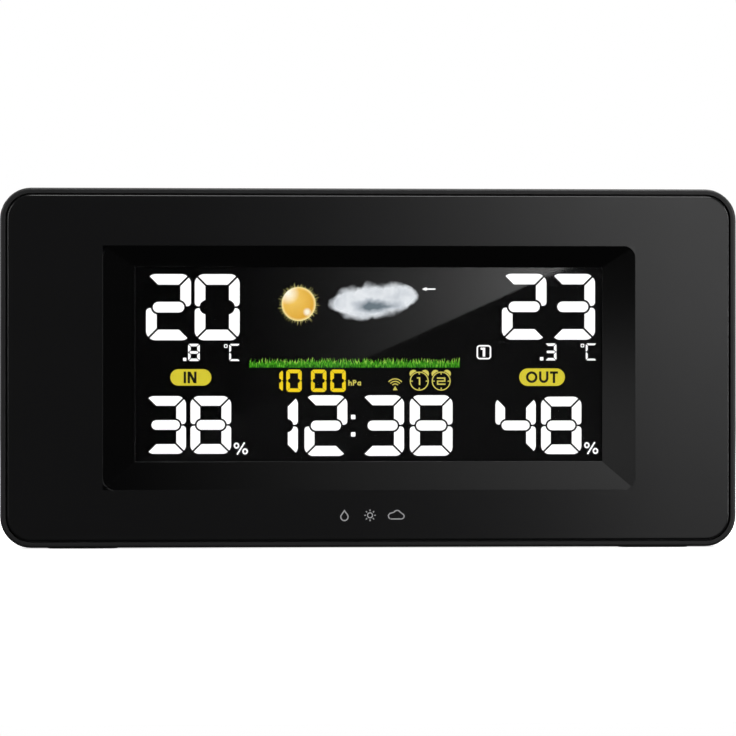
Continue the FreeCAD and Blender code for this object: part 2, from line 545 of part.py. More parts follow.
def lcd_holder():
    """White frame that carries the glass and the backlight, with four screw ears."""
    pocket = sheet(POCKET_W, POCKET_H, POCKET_R, (4, 11.5))
    body = sheet(HOLDER_W, HOLDER_H, HOLDER_R, HOLDER_D).cut(pocket)
    ears = []
    for x, z in pcb_screw_places():
        x_in, x_out = math.copysign(60.0, x), x + math.copysign(EAR_HALF, x)
        z_in, z_out = MID_Z + math.copysign(29.5, z - MID_Z), z + math.copysign(EAR_HALF, z - MID_Z)
        ears.append(block(min(x_in, x_out), max(x_in, x_out), PCB_D - 1.4, PCB_D - 0.1,
                          min(z_in, z_out), max(z_in, z_out)))
    body = fuse(body, *ears)
    body = cut(body, pocket, *[rod_y(x, z, SCREW_CLEAR_R, 8, 12) for x, z in pcb_screw_places()])
    save("lcd_holder", body.removeSplitter())


# ---------------------------------------------------------------- electronics
def main_board():
    """Circuit board with its screw and pin holes, and the four screws that hold it."""
    board = slab(-PCB_X, PCB_X, PCB_D, PCB_BACK, PCB_LOW, PCB_HIGH, 1.5)
    front, back = PCB_D - PAST, PCB_BACK + PAST
    holes = [rod_y(x, z, SCREW_CLEAR_R, front, back) for x, z in pcb_screw_places()]
    holes += [block(x - 0.3, x + 0.3, front, back, z - 0.25, z + 0.25) for x, z in pin_places()]
    save("main_board", cut(board, *holes))
    screws = []
    for x, z in pcb_screw_places():
        head = rod_y(x, z, BOARD_HEAD_R, PCB_BACK, PCB_BACK + BOARD_HEAD_T)
        screw = fuse(head, rod_y(x, z, SCREW_R, 6.0, PCB_BACK + BOARD_SLOT_T))
        cross = [block(x - a, x + a, PCB_BACK + BOARD_SLOT_T, PCB_BACK + 3, z - b, z + b)
                 for a, b in ((BOARD_SLOT_HALF, 0.3), (0.3, BOARD_SLOT_HALF))]
        screws.append(cut(screw, *cross))
    save("board_screws", group(screws))


def main_chip():
    """Square chip and its leads on four sides."""
    save("main_chip", slab(CHIP_X - CHIP_HALF, CHIP_X + CHIP_HALF, PCB_BACK + 0.1, PCB_BACK + 1.6,
                           CHIP_Z - CHIP_HALF, CHIP_Z + CHIP_HALF, 0.3))
    back, half = PCB_BACK + LEAD_T, 0.2
    leads = []
    for i in range(LEADS_A_SIDE):
        t = (i - (LEADS_A_SIDE - 1) / 2) * LEAD_PITCH
        for s in (-1, 1):
            a, b = sorted((s * CHIP_HALF, s * (CHIP_HALF + LEAD_OUT)))
            leads.append(block(CHIP_X + a, CHIP_X + b, PCB_BACK, back, CHIP_Z + t - half, CHIP_Z + t + half))
            leads.append(block(CHIP_X + t - half, CHIP_X + t + half, PCB_BACK, back, CHIP_Z + a, CHIP_Z + b))
    save("chip_leads", group(leads))


def small_parts():
    """Resistors, capacitors, clock crystal and sounder on the back of the board."""
    small = []
    for row in range(3):
        for column in range(7):
            if row == 1 and column % 3 == 2:
                continue
            x, z = 4.0 + 5.0 * column, 50.0 + 3.2 * row
            small.append(block(x - 1.0, x + 1.0, PCB_BACK, PCB_BACK + 0.6, z - 0.6, z + 0.6))
    save("chip_resistors", group(small))

    top = PCB_BACK + CAPACITOR_TALL
    cans = [rod_y(x, z, CAPACITOR_R, PCB_BACK + 0.1, top) for x, z in CAPACITOR_PLACES]
    save("capacitors", group([can.makeFillet(0.5, edges_at_depth(can, top)) for can in cans]))
    save("clock_crystal", rod_x(CRYSTAL_X, CRYSTAL_X + CRYSTAL_LONG, PCB_BACK + CRYSTAL_R + 0.1,
                                CRYSTAL_Z, CRYSTAL_R))

    top = PCB_BACK + BUZZER_TALL
    buzzer = rod_y(BUZZER_X, BUZZER_Z, BUZZER_R, PCB_BACK, top)
    buzzer = buzzer.makeFillet(0.6, edges_at_depth(buzzer, top))
    save("buzzer", buzzer.cut(rod_y(BUZZER_X, BUZZER_Z, 1.2, top - 2.0, top + PAST)))


def sensors():
    """Pressure sensor can with its hole, and the slotted temperature and humidity sensor."""
    top = PCB_BACK + PRESSURE_TALL
    pressure = rod_y(PRESSURE_X, PRESSURE_Z, PRESSURE_R, PCB_BACK, top)
    pressure = pressure.makeFillet(0.3, edges_at_depth(pressure, top))
    save("pressure_sensor", pressure.cut(rod_y(PRESSURE_X, PRESSURE_Z, 0.5, top - 1.0, top + PAST)))
    half_w, half_h, top = CLIMATE_W / 2, CLIMATE_H / 2, PCB_BACK + CLIMATE_TALL
    climate = slab(CLIMATE_X - half_w, CLIMATE_X + half_w, PCB_BACK, top,
                   CLIMATE_Z - half_h, CLIMATE_Z + half_h, 0.6)
    grille = []
    for i in range(4):
        z = CLIMATE_Z - half_h + 1.6 + 2.0 * i
        grille.append(block(CLIMATE_X - half_w + 1, CLIMATE_X + half_w - 1, top - 1.5, top + PAST,
                            z, z + 0.9))
    save("climate_sensor", cut(climate, *grille))


def radio():
    """Receiver board for the outdoor sensor with its coil aerial, and the time-signal aerial."""
    save("receiver_board", slab(RADIO_X0, RADIO_X1, RADIO_D, RADIO_BACK, RADIO_Z0, RADIO_Z1, 0.5))
    save("receiver_shield", slab(RADIO_X0 + 4, RADIO_X1 - 9, RADIO_BACK, RADIO_BACK + 2.2,
                                 RADIO_Z0 + 4, RADIO_Z1 - 2, 0.8))
    helix = Part.makeHelix(AERIAL_PITCH, AERIAL_PITCH * AERIAL_TURNS, AERIAL_R)
    profile = Part.Wire([Part.makeCircle(AERIAL_WIRE_R, Vector(AERIAL_R, 0, 0), Vector(0, 1, 0))])
    coil = Part.Wire(helix).makePipeShell([profile], True, True)
    coil.Placement = FreeCAD.Placement(Vector(AERIAL_X, y(AERIAL_D), AERIAL_Z), FreeCAD.Rotation())
    save("receiver_aerial", coil)

    save("ferrite_rod", rod_z(ANTENNA_X, ANTENNA_D, ANTENNA_Z0, ANTENNA_Z1, ANTENNA_R))
    tube = rod_z(ANTENNA_X, ANTENNA_D, WINDING_Z0, WINDING_Z1, WINDING_R)
    bore = rod_z(ANTENNA_X, ANTENNA_D, WINDING_Z0 - PAST, WINDING_Z1 + PAST, ANTENNA_R)
    save("ferrite_winding", tube.cut(bore))


def power_jack():
    """Upright barrel socket: square body, round collar in the case wall, centre pin."""
    body = slab(JACK_X - JACK_HALF, JACK_X + JACK_HALF, PCB_BACK, DEPTH - 2.1,
                JACK_Z - JACK_HALF, JACK_Z + JACK_HALF, 0.6)
    body = fuse(body, rod_y(JACK_X, JACK_Z, JACK_COLLAR_R, DEPTH - 3, DEPTH - 0.3))
    body = cut(body, rod_y(JACK_X, JACK_Z, JACK_BORE_R, DEPTH - 11.0, DEPTH + 1),
               rod_y(JACK_X, JACK_Z, JACK_PIN_R, PCB_BACK + 1, DEPTH))
    save("power_jack", body.removeSplitter())
    pin = rod_y(JACK_X, JACK_Z, JACK_PIN_R, PCB_BACK + 1, DEPTH - 1.2)
    save("power_jack_pin", pin.makeFillet(0.4, edges_at_depth(pin, DEPTH - 1.2)))


# ---------------------------------------------------------------- keys
def rear_keys():
    """Six caps with their switches: cap, moving stem, and the fixed switch bodies."""
    bodies = []
    for name, x in key_places():
        cap = slab(x - KEY_W / 2, x + KEY_W / 2, KEY_BACK, KEY_FACE,
                   KEY_Z - KEY_H / 2, KEY_Z + KEY_H / 2, KEY_R)
        cap = cap.makeFillet(FASCIA_FILLET, edges_at_depth(cap, KEY_FACE))
        dish = Part.makeSphere(KEY_DISH_R, Vector(x, y(KEY_FACE + KEY_DISH_R - KEY_DISH_DEEP), KEY_Z))
        wide, tall = KEY_W / 2 + FLANGE_OUT, KEY_H / 2 + FLANGE_OUT
        flange = slab(x - wide, x + wide, KEY_BACK, DEPTH - WALL - 0.1, KEY_Z - tall, KEY_Z + tall, 1.6)
        plunger = rod_y(x, KEY_Z, PLUNGER_R, PLUNGER_TIP, KEY_BACK + 0.4)
        web = block(x - 3.6, x + 3.6, 21.4, KEY_BACK + 0.4, KEY_Z - 0.5, KEY_Z + 0.5)
        save(f"{name}_key", fuse(cap, flange, plunger, web).cut(dish).removeSplitter())
        save(f"{name}_switch_stem", rod_y(x, KEY_Z, PLUNGER_R, STEM_TIP, PLUNGER_TIP))
        body = slab(x - SWITCH_HALF, x + SWITCH_HALF, PCB_BACK, SWITCH_BACK,
                    KEY_Z - SWITCH_HALF, KEY_Z + SWITCH_HALF, 0.3)
        bodies.append(body.cut(rod_y(x, KEY_Z, PLUNGER_R + SWITCH_GAP, STEM_TIP - 1.2, SWITCH_BACK + PAST)))
    snooze = block(-3.2, 3.2, PCB_BACK, PCB_BACK + 4.8, SNOOZE_STEM_Z0 - 5.2, SNOOZE_STEM_Z0 + 1.0)
    bodies.append(snooze.cut(rod_z(0, SNOOZE_STEM_D, SNOOZE_STEM_Z0 - 1.0, SNOOZE_STEM_Z1,
                                   SNOOZE_STEM_R + SWITCH_GAP)))
    save("switch_bodies", group(bodies))


def snooze_plan(grow, z0, z1):
    """Round-ended bar seen from above."""
    r = (SNOOZE_D1 - SNOOZE_D0) / 2 + grow
    mid, reach = (SNOOZE_D0 + SNOOZE_D1) / 2, SNOOZE_HALF + grow - r
    bar = block(-reach, reach, mid - r, mid + r, z0, z1)
    return fuse(bar, rod_z(-reach, mid, z0, z1, r), rod_z(reach, mid, z0, z1, r)).removeSplitter()


def snooze_key():
    """Long key on top with three finger dots, its rib and guides, and the stem it presses."""
    top, under = TOP_Z + SNOOZE_PROUD, TOP_Z - 3.0
    cap = snooze_plan(0.0, under - 0.2, top)
    cap = cap.makeFillet(0.25, [e for e in cap.Edges if e.BoundBox.ZMin > top - 1e-4])
    flange = snooze_plan(1.2, under - 0.4, TOP_Z - WALL - 0.1)
    rib = block(-3.0, 3.0, SNOOZE_STEM_D - 1.2, SNOOZE_STEM_D + 1.6, SNOOZE_STEM_Z1, under)
    guides = []
    for x in (-SNOOZE_GUIDE_X, SNOOZE_GUIDE_X):
        guides.append(block(x - RIB_HALF, x + RIB_HALF, 14.0, 20.0, SNOOZE_STEM_Z1 + 1.4, under))
    mid = (SNOOZE_D0 + SNOOZE_D1) / 2
    dots = [rod_z(i * SNOOZE_DOT_PITCH, mid, top - 0.3, top + SNOOZE_DOT_TALL, SNOOZE_DOT_R)
            for i in (-1, 0, 1)]
    save("snooze_key", fuse(cap, flange, rib, *guides, *dots).removeSplitter())
    save("snooze_switch_stem", rod_z(0, SNOOZE_STEM_D, SNOOZE_STEM_Z0, SNOOZE_STEM_Z1, SNOOZE_STEM_R))


# ---------------------------------------------------------------- battery bay
def cells():
    """Three AAA cells, the middle one the other way round."""
    made = []
    for i, z in enumerate(cell_heights()):
        plus = 1 if i % 2 == 0 else -1
        plus_end = BAY_X1 - 0.5 if plus > 0 else BAY_X0 + 0.5
        other = plus_end - plus * CELL_LONG
        shoulder = plus_end - plus * NUB_LONG
        low, high = sorted((other, shoulder))
        can = rod_x(low, high, CELL_D, z, CELL_R)
        can = can.makeFillet(0.5, [e for e in can.Edges if e.Curve.TypeId == "Part::GeomCircle"])
        a, b = sorted((shoulder - plus * 0.1, plus_end))
        made.append(fuse(can, rod_x(a, b, CELL_D, z, NUB_R)).removeSplitter())
    save("aaa_cells", group(made))


def contact_tabs():
    """Solder tabs that carry the cells' two outer ends through the walls of the bay."""
    low, high = cell_heights()[0], cell_heights()[2]
    side = block(BAY_X1 - PLATE_T, BAY_X1 + TAB_OUT, TAB_D, TAB_D + PLATE_T, low - 1, low + 1)
    up = block(BAY_X0, BAY_X0 + PLATE_T, TAB_D, TAB_D + 2.0, high, BAY_Z1 + TAB_OUT)
    return side, up


def contact_tab_slots():
    low = cell_heights()[0]
    side = block(BAY_X1 - 0.5, BAY_X1 + BAY_WALL + 0.5, TAB_D - 0.1, TAB_D + PLATE_T + 0.1,
                 low - 1.1, low + 1.1)
    up = block(BAY_X0, BAY_X0 + PLATE_T + 0.1, TAB_D - 0.1, TAB_D + 2.1,
               BAY_Z1 - 0.5, BAY_Z1 + BAY_WALL + 0.5)
    return [side, up]


def contacts():
    """Flat plates behind the cell ends: two single ones with tabs, and two that join a pair."""
    low, middle, high = cell_heights()

    def plate(x_wall, inward, z0, z1):
        a, b = sorted((x_wall, x_wall + inward * PLATE_T))
        return block(a, b, CELL_D - PLATE_HALF, CELL_D + PLATE_HALF,
                     z0 - PLATE_HALF, z1 + PLATE_HALF)

    side_tab, up_tab = contact_tabs()
    save("contact_plates", group([
        fuse(plate(BAY_X1, -1, low, low), side_tab).removeSplitter(),
        plate(BAY_X1, -1, middle, high),
        plate(BAY_X0, 1, low, middle),
        fuse(plate(BAY_X0, 1, high, high), up_tab).removeSplitter(),
    ]))


def contact_springs():
    """Conical springs, one pressing on the flat end of each cell."""
    wire_r, rise, turns, wide, narrow, steps = 0.3, 2.85, 3, 3.4, 2.3, 12
    count = turns * steps
    points = []
    for i in range(count + 1):
        turn, part = 2 * math.pi * i / steps, i / count
        radius = wide + (narrow - wide) * part
        points.append(Vector(radius * math.cos(turn), radius * math.sin(turn), rise * part))
    coil = Part.BSplineCurve()
    coil.interpolate(points)
    start = coil.tangent(coil.FirstParameter)[0]
    profile = Part.Wire([Part.makeCircle(wire_r, points[0], start)])
    spring = Part.Wire(coil.toShape()).makePipeShell([profile], True, True)
    made = []
    for i, z in enumerate(cell_heights()):
        side = 1 if i % 2 == 0 else -1
        foot_x = BAY_X0 + 0.75 if side > 0 else BAY_X1 - 0.75
        one = spring.copy()
        one.Placement = FreeCAD.Placement(Vector(foot_x, y(CELL_D), z),
                                          FreeCAD.Rotation(Vector(0, 1, 0), 90 * side))
        made.append(one)
    save("contact_springs", group(made))


def lead(name, points, radius=LEAD_R):
    """Insulated wire: straight runs joined by arcs as large as the runs allow."""
    points = [Vector(x, y(d), z) for x, d, z in points]
    edges, at = [], points[0]
    for a, b, c in zip(points, points[1:], points[2:]):
        u, v = (b - a), (c - b)
        turn = u.getAngle(v)
        run = min(u.Length, v.Length)
        bend = 0.45 * run / math.tan(turn / 2)
        reach = 0.45 * run
        u.normalize()
        v.normalize()
        start, end = b - u * reach, b + v * reach
        inward = (v - u).normalize()
        middle = b + inward * (bend / math.cos(turn / 2) - bend)
        edges.append(Part.LineSegment(at, start).toShape())
        edges.append(Part.Arc(start, middle, end).toShape())
        at = end
    edges.append(Part.LineSegment(at, points[-1]).toShape())
    path = Part.Wire(edges)
    profile = Part.Wire([Part.makeCircle(radius, points[0], points[1] - points[0])])
    tube = path.makePipeShell([profile], True, False)
    long = sum(e.Length for e in edges)
    print(f"{name}: {long:.1f} mm long, volume/section x length "
          f"{tube.Volume / (math.pi * radius ** 2 * long):.3f}")
    save(name, tube)


def battery_leads():
    """Two insulated wires from the bay's tabs to the circuit board."""
    low = cell_heights()[0]
    right, top = BAY_X1 + TAB_OUT + 0.8, BAY_Z1 + TAB_OUT
    lead("battery_lead_plus", [
        (right - 0.2, TAB_D + PLATE_T + 0.7, low - 1.0), (right, TAB_D, low + 8.0),
        (right + 0.6, 20.0, low + 18.0), (right, 18.0, BAY_Z1 + 4.5),
        (right - 6.0, 17.0, BAY_Z1 + 9.0), (right - 11.4, 15.5, BAY_Z1 + 8.6),
        (right - 11.4, PCB_BACK, BAY_Z1 + 8.6)])
    lead("battery_lead_minus", [
        (BAY_X0 + PLATE_T + 0.7, TAB_D + 1.0, top - 0.6), (BAY_X0 + 1.6, TAB_D - 1.5, top + 2.6),
        (BAY_X0 + 5.6, 16.5, top + 4.0), (BAY_X0 + 5.6, PCB_BACK, top + 4.0)])


def battery_door():
    """Swinging door: round lower edge on the swing axis, two hooks, ribs and a nail notch."""
    x0, x1 = BAY_X0 - DOOR_LEDGE + DOOR_GAP, BAY_X1 + DOOR_LEDGE - DOOR_GAP
    d0, d1 = DOOR_AXIS_D - DOOR_T / 2, DOOR_AXIS_D + DOOR_T / 2
    top = BAY_Z1 + DOOR_LEDGE - DOOR_GAP
    low = DOOR_AXIS_Z - DOOR_T / 2
    panel = slab(x0, x1, d0, d1, low, top, DOOR_SEAT_R - DOOR_GAP)
    panel = panel.cut(block(x0 - 1, x1 + 1, d0 - 1, d1 + 1, low - 1, DOOR_AXIS_Z))
    edge = rod_x(x0 + 1.0, x1 - 1.0, DOOR_AXIS_D, DOOR_AXIS_Z, DOOR_T / 2)
    hooks = []
    for x in DOOR_TABS_X:
        a, b = x - DOOR_TAB_HALF, x + DOOR_TAB_HALF
        hooks.append(block(a, b, 23.7, d0 + 0.3, DOOR_AXIS_Z + 0.1, DOOR_AXIS_Z + 1.5))
        hooks.append(block(a, b, 23.7, DEPTH - WALL - 0.15, DOOR_AXIS_Z - 2.2, DOOR_AXIS_Z + 1.5))
    body = fuse(panel, edge, *hooks)
    mid = (BAY_X0 + BAY_X1) / 2
    cuts = [rod_x(mid - DOOR_NOTCH_HALF, mid + DOOR_NOTCH_HALF, DEPTH + 2.0, top - 1.6, DOOR_NOTCH_R - 0.4)]
    for i in range(DOOR_RIBS):
        z, half = top - 6.5 - DOOR_RIB_PITCH * i, DOOR_NOTCH_HALF - 1.2 * i
        cuts.append(block(mid - half, mid + half, d1 - DOOR_RIB_DEEP, d1 + PAST, z - 0.4, z + 0.4))
    body = cut(body, *cuts).removeSplitter()
    save("battery_door", body)


# ---------------------------------------------------------------- foot
def foot_plan(z):
    """Outline of the foot, lying flat at one height, with its two outer corners rounded."""
    axis_y, tip_y = y(FOOT_AXIS_D), y(FOOT_AXIS_D) + FOOT_REACH
    r, c = FOOT_CORNER_R, FOOT_CORNER_R * (1 - math.cos(math.radians(45)))
    corners = [Vector(-FOOT_HALF, axis_y, z), Vector(FOOT_HALF, axis_y, z),
               Vector(FOOT_HALF, tip_y - r, z), Vector(FOOT_HALF - r, tip_y, z),
               Vector(-FOOT_HALF + r, tip_y, z), Vector(-FOOT_HALF, tip_y - r, z)]
    return Part.Wire([
        Part.LineSegment(corners[0], corners[1]).toShape(),
        Part.LineSegment(corners[1], corners[2]).toShape(),
        Part.Arc(corners[2], Vector(FOOT_HALF - c, tip_y - c, z), corners[3]).toShape(),
        Part.LineSegment(corners[3], corners[4]).toShape(),
        Part.Arc(corners[4], Vector(-FOOT_HALF + c, tip_y - c, z), corners[5]).toShape(),
        Part.LineSegment(corners[5], corners[0]).toShape(),
    ])


def flat_pocket(x_mid, y_mid, z0, z1):
    """Round-cornered pocket seen from above, for thinning the foot."""
    width, long, r, tall = FOOT_POCKET_W, FOOT_POCKET_LONG, FOOT_POCKET_R, z1 - z0
    left, near = x_mid - width / 2, y_mid - long / 2
    bars = [Part.makeBox(width - 2 * r, long, tall, Vector(left + r, near, z0)),
            Part.makeBox(width, long - 2 * r, tall, Vector(left, near + r, z0))]
    for sx in (-1, 1):
        for sy in (-1, 1):
            corner = Vector(x_mid + sx * (width / 2 - r), y_mid + sy * (long / 2 - r), z0)
            bars.append(Part.makeCylinder(r, tall, corner))
    return fuse(*bars).removeSplitter()


def fold_out_foot():
    """Flat foot on a steel pin. It is drawn folded out, lying along the table."""
    low = FOOT_AXIS_Z - KNUCKLE_R
    high, axis_y = low + FOOT_SLAB, y(FOOT_AXIS_D)
    plate = Part.Face(foot_plan(low)).extrude(Vector(0, 0, FOOT_SLAB))
    rim = [e for e in plate.Edges if e.BoundBox.YMin > axis_y + 1
           and (e.BoundBox.ZMax - e.BoundBox.ZMin) < 1e-4]
    plate = plate.makeFillet(FOOT_FILLET, rim)
    knuckles, heels = [], []
    for a, b in ((-FOOT_HALF, -KNUCKLE_IN), (KNUCKLE_IN, FOOT_HALF)):
        knuckles.append(rod_x(a, b, FOOT_AXIS_D, FOOT_AXIS_Z, KNUCKLE_R))
        heels.append(block(a, b, FOOT_AXIS_D - 2.7, FOOT_AXIS_D, FOOT_AXIS_Z, FOOT_AXIS_Z + KNUCKLE_R))
    body = fuse(plate, *knuckles, *heels)
    cuts = [block(-KNUCKLE_IN, KNUCKLE_IN, FOOT_AXIS_D - 4, FOOT_AXIS_D + 2.2, -PAST, 8),
            rod_x(-FOOT_HALF - PAST, FOOT_HALF + PAST, FOOT_AXIS_D, FOOT_AXIS_Z,
                  FOOT_PIN_R + FOOT_PIN_CLEAR)]
    cuts += [flat_pocket(x, axis_y + FOOT_POCKET_MID, high - FOOT_POCKET_DEEP, high + PAST)
             for x in FOOT_POCKETS_X]
    cuts.append(foot_pad_block(0.1, -PAST))
    save("fold_out_foot", cut(body, *cuts).removeSplitter())
    half = FOOT_HALF + FOOT_GAP + 1.7
    save("foot_hinge_pin", rod_x(-half, half, FOOT_AXIS_D, FOOT_AXIS_Z, FOOT_PIN_R))
    save("foot_pad", foot_pad_block(0.0, 0.0))


def foot_pad_block(grow, z0):
    """Rubber strip near the tip of the foot, or its socket."""
    half, tip = FOOT_PAD_HALF + grow, FOOT_AXIS_D + FOOT_REACH
    top = FOOT_AXIS_Z - KNUCKLE_R + FOOT_PAD_SUNK
    return block(-half, half, tip - FOOT_PAD_IN - grow, tip - FOOT_PAD_OUT + grow, z0, top)


def main():
    os.makedirs(OUT, exist_ok=True)
    front_case()
    fascia()
    fascia_tape()
    rear_case()
    case_screws()
    base_pads()
    display_stack()
    backlight_strips()
    board_pins()
    lcd_holder()
    main_board()
    main_chip()
    small_parts()
    sensors()
    radio()
    power_jack()
    rear_keys()
    snooze_key()
    cells()
    contacts()
    contact_springs()
    battery_leads()
    battery_door()
    fold_out_foot()


main()
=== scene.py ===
"""Looks, lights and camera for the home weather station console.

Everything is in metres in the model's own frame: +X to the right of someone facing the
display, +Y away from them, +Z up, with the table at z = 0.
"""

import logging
import math
import random
from dataclasses import dataclass, field
from enum import Enum
from functools import lru_cache
from typing import Iterable, Union

import bmesh
import bpy
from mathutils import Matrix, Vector


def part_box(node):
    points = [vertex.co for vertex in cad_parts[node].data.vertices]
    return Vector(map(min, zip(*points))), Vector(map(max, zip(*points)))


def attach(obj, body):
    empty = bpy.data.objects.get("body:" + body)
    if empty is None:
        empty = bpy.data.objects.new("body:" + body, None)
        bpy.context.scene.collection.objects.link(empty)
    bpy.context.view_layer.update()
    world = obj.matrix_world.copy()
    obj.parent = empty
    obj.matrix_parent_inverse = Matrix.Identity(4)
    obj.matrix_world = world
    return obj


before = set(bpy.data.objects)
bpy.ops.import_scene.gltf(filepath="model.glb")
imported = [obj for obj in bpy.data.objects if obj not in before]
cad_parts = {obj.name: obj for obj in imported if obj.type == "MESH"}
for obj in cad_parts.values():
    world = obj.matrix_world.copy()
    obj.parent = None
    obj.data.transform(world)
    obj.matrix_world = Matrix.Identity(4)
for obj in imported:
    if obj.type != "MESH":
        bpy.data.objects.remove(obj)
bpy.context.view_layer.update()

LOG = logging.getLogger("weather_station")
MM = 0.001
CONSOLE = "console"

Color = tuple[float, float, float]
Point = tuple[float, float]
Outline = list[Point]
Material = bpy.types.Material
Node = bpy.types.Node
Socket = bpy.types.NodeSocket
Tree = bpy.types.NodeTree
Value = Union[Socket, float, tuple, Vector]
Inputs = dict[Union[str, int], Value]

WHITE: Color = (1.0, 1.0, 1.0)
UNLIT: Color = (0.01, 0.01, 0.01)
DUST: Color = (0.35, 0.33, 0.3)


# ------------------------------------------------------------------ outlines in a plane
def arc(x: float, z: float, radius: float, start: float, stop: float, steps: int = 6) -> Outline:
    """Points along an arc about x, z, from one angle to another in degrees, both included."""
    turns = [math.radians(start + (stop - start) * i / steps) for i in range(steps + 1)]
    return [(x + radius * math.cos(a), z + radius * math.sin(a)) for a in turns]


def rounded_box(x0: float, z0: float, x1: float, z1: float, radius: float,
                steps: int = 6) -> Outline:
    """Rectangle with round corners, counter-clockwise.

    Args:
        x0: Left edge.
        z0: Lower edge.
        x1: Right edge.
        z1: Upper edge.
        radius: Radius of the corners.
        steps: Number of stretches in each corner.

    Returns:
        The points in order.
    """
    r = radius
    return (arc(x1 - r, z0 + r, r, -90, 0, steps) + arc(x1 - r, z1 - r, r, 0, 90, steps)
            + arc(x0 + r, z1 - r, r, 90, 180, steps) + arc(x0 + r, z0 + r, r, 180, 270, steps))


def box(x0: float, z0: float, x1: float, z1: float) -> Outline:
    """Rectangle with sharp corners."""
    return [(x0, z0), (x1, z0), (x1, z1), (x0, z1)]


def band(x: float, z: float, inner: float, outer: float, start: float, stop: float,
         steps: int = 16) -> Outline:
    """Arched band between two radii."""
    return arc(x, z, outer, start, stop, steps) + arc(x, z, inner, stop, start, steps)


def stroke(a: Point, b: Point, width: float) -> Outline:
    """Straight bar of one width between two points.

    Args:
        a: Middle of its first end.
        b: Middle of its last end.
        width: Width of the bar.

    Returns:
        Its four corners.
    """
    dx, dz = b[0] - a[0], b[1] - a[1]
    scale = width / 2 / math.hypot(dx, dz)
    nx, nz = -dz * scale, dx * scale
    return [(x + side * nx, z + side * nz)
            for (x, z), side in ((a, 1), (a, -1), (b, -1), (b, 1))]


@dataclass(frozen=True)
class Shape:
    """One flat shape: an outline, and a hole with as many points if it has one."""

    outline: Outline
    hole: Outline | None = None

    def moved(self, x: float, z: float) -> "Shape":
        """The same shape somewhere else in its plane."""
        hole = [(a + x, b + z) for a, b in self.hole] if self.hole else None
        return Shape([(a + x, b + z) for a, b in self.outline], hole)


def ring(x: float, z: float, inner: float, outer: float, steps: int = 32) -> Shape:
    """Round ring."""
    return Shape(arc(x, z, outer, 0, 360 - 360 / steps, steps - 1),
                 arc(x, z, inner, 0, 360 - 360 / steps, steps - 1))


def frame_shape(x0: float, z0: float, x1: float, z1: float, radius: float,
                width: float) -> Shape:
    """Rounded rectangular frame of one width.

    Args:
        x0: Left edge.
        z0: Lower edge.
        x1: Right edge.
        z1: Upper edge.
        radius: Radius of the outer corners.
        width: Width of the frame's bars.

    Returns:
        The frame.
    """
    inner = max(radius - width, 0.05)
    return Shape(rounded_box(x0, z0, x1, z1, radius),
                 rounded_box(x0 + width, z0 + width, x1 - width, z1 - width, inner))


def ellipse(x: float, z: float, half_x: float, half_z: float, steps: int = 28) -> Outline:
    """Points round an ellipse."""
    return [(x + half_x * math.cos(a), z + half_z * math.sin(a))
            for a in (math.tau * i / steps for i in range(steps))]


@dataclass(frozen=True)
class Letters:
    """Plain block letters for the display's unit and side labels, drawn with bars and arches."""

    height: float
    bar: float

    def stem(self, x: float, z: float, height: float) -> Shape:
        """Upright bar."""
        return Shape(box(x, z, x + self.bar, z + height))

    def oval(self, x: float, z: float, width: float, height: float) -> Shape:
        """Upright oval ring.

        Args:
            x: Left edge.
            z: Lower edge.
            width: Width of the oval.
            height: Height of the oval.

        Returns:
            The ring.
        """
        middle = (x + width / 2, z + height / 2)
        return Shape(ellipse(*middle, width / 2, height / 2),
                     ellipse(*middle, width / 2 - self.bar, height / 2 - self.bar))

    def draw(self, letter: str, x: float, z: float, width: float) -> list[Shape]:
        """One letter.

        Args:
            letter: One of I, N, O, U, T, h, P, a or %.
            x: Left edge.
            z: Lower edge.
            width: Width of the letter.

        Returns:
            Its shapes.
        """
        h, t, right, top = self.height, self.bar, x + width, z + self.height
        low = h * 0.72
        if letter == "I":
            return [self.stem(x, z, h)]
        if letter == "N":
            slope = Shape([(x, top), (x + t * 1.2, top), (right, z), (right - t * 1.2, z)])
            return [self.stem(x, z, h), self.stem(right - t, z, h), slope]
        if letter == "O":
            return [self.oval(x, z, width, h)]
        if letter == "U":
            r = width / 2
            bowl = Shape(band(x + r, z + r, r - t, r, 180, 360, 12))
            return [bowl, self.stem(x, z + r, h - r), self.stem(right - t, z + r, h - r)]
        if letter == "T":
            return [self.stem(x + (width - t) / 2, z, h), Shape(box(x, top - t, right, top))]
        if letter == "h":
            r = width / 2
            arch = Shape(band(x + r, z + low - r, r - t, r, 0, 180, 10))
            return [self.stem(x, z, h), arch, self.stem(right - t, z, low - r)]
        if letter == "P":
            r = h * 0.3
            bowl = Shape(band(right - r, top - r, r - t, r, -90, 90, 10))
            bars = [Shape(box(x, edge, right - r, edge + t)) for edge in (top - t, top - 2 * r)]
            return [self.stem(x, z, h), bowl, *bars]
        if letter == "a":
            return [self.oval(x, z, width, low), self.stem(right - t, z, low)]
        ring_w, ring_h = width * 0.4, h * 0.52
        return [self.oval(x, top - ring_h, ring_w, ring_h),
                self.oval(right - ring_w, z, ring_w, ring_h),
                Shape(stroke((x + width * 0.24, z), (x + width * 0.76, top), t))]

    def word(self, letters: str, x: float, z: float, widths: tuple[float, ...],
             gap: float) -> list[Shape]:
        """A row of letters.

        Args:
            letters: What to write.
            x: Left edge.
            z: Lower edge.
            widths: Width of each letter.
            gap: Space between two letters.

        Returns:
            The shapes of them all.
        """
        made = []
        for letter, width in zip(letters, widths):
            made += self.draw(letter, x, z, width)
            x += width + gap
        return made


# ------------------------------------------------------------------ seven-segment figures
class Segment(Enum):
    """The seven bars of a figure."""

    TOP = "A"
    TOP_RIGHT = "B"
    LOW_RIGHT = "C"
    BOTTOM = "D"
    LOW_LEFT = "E"
    TOP_LEFT = "F"
    MIDDLE = "G"


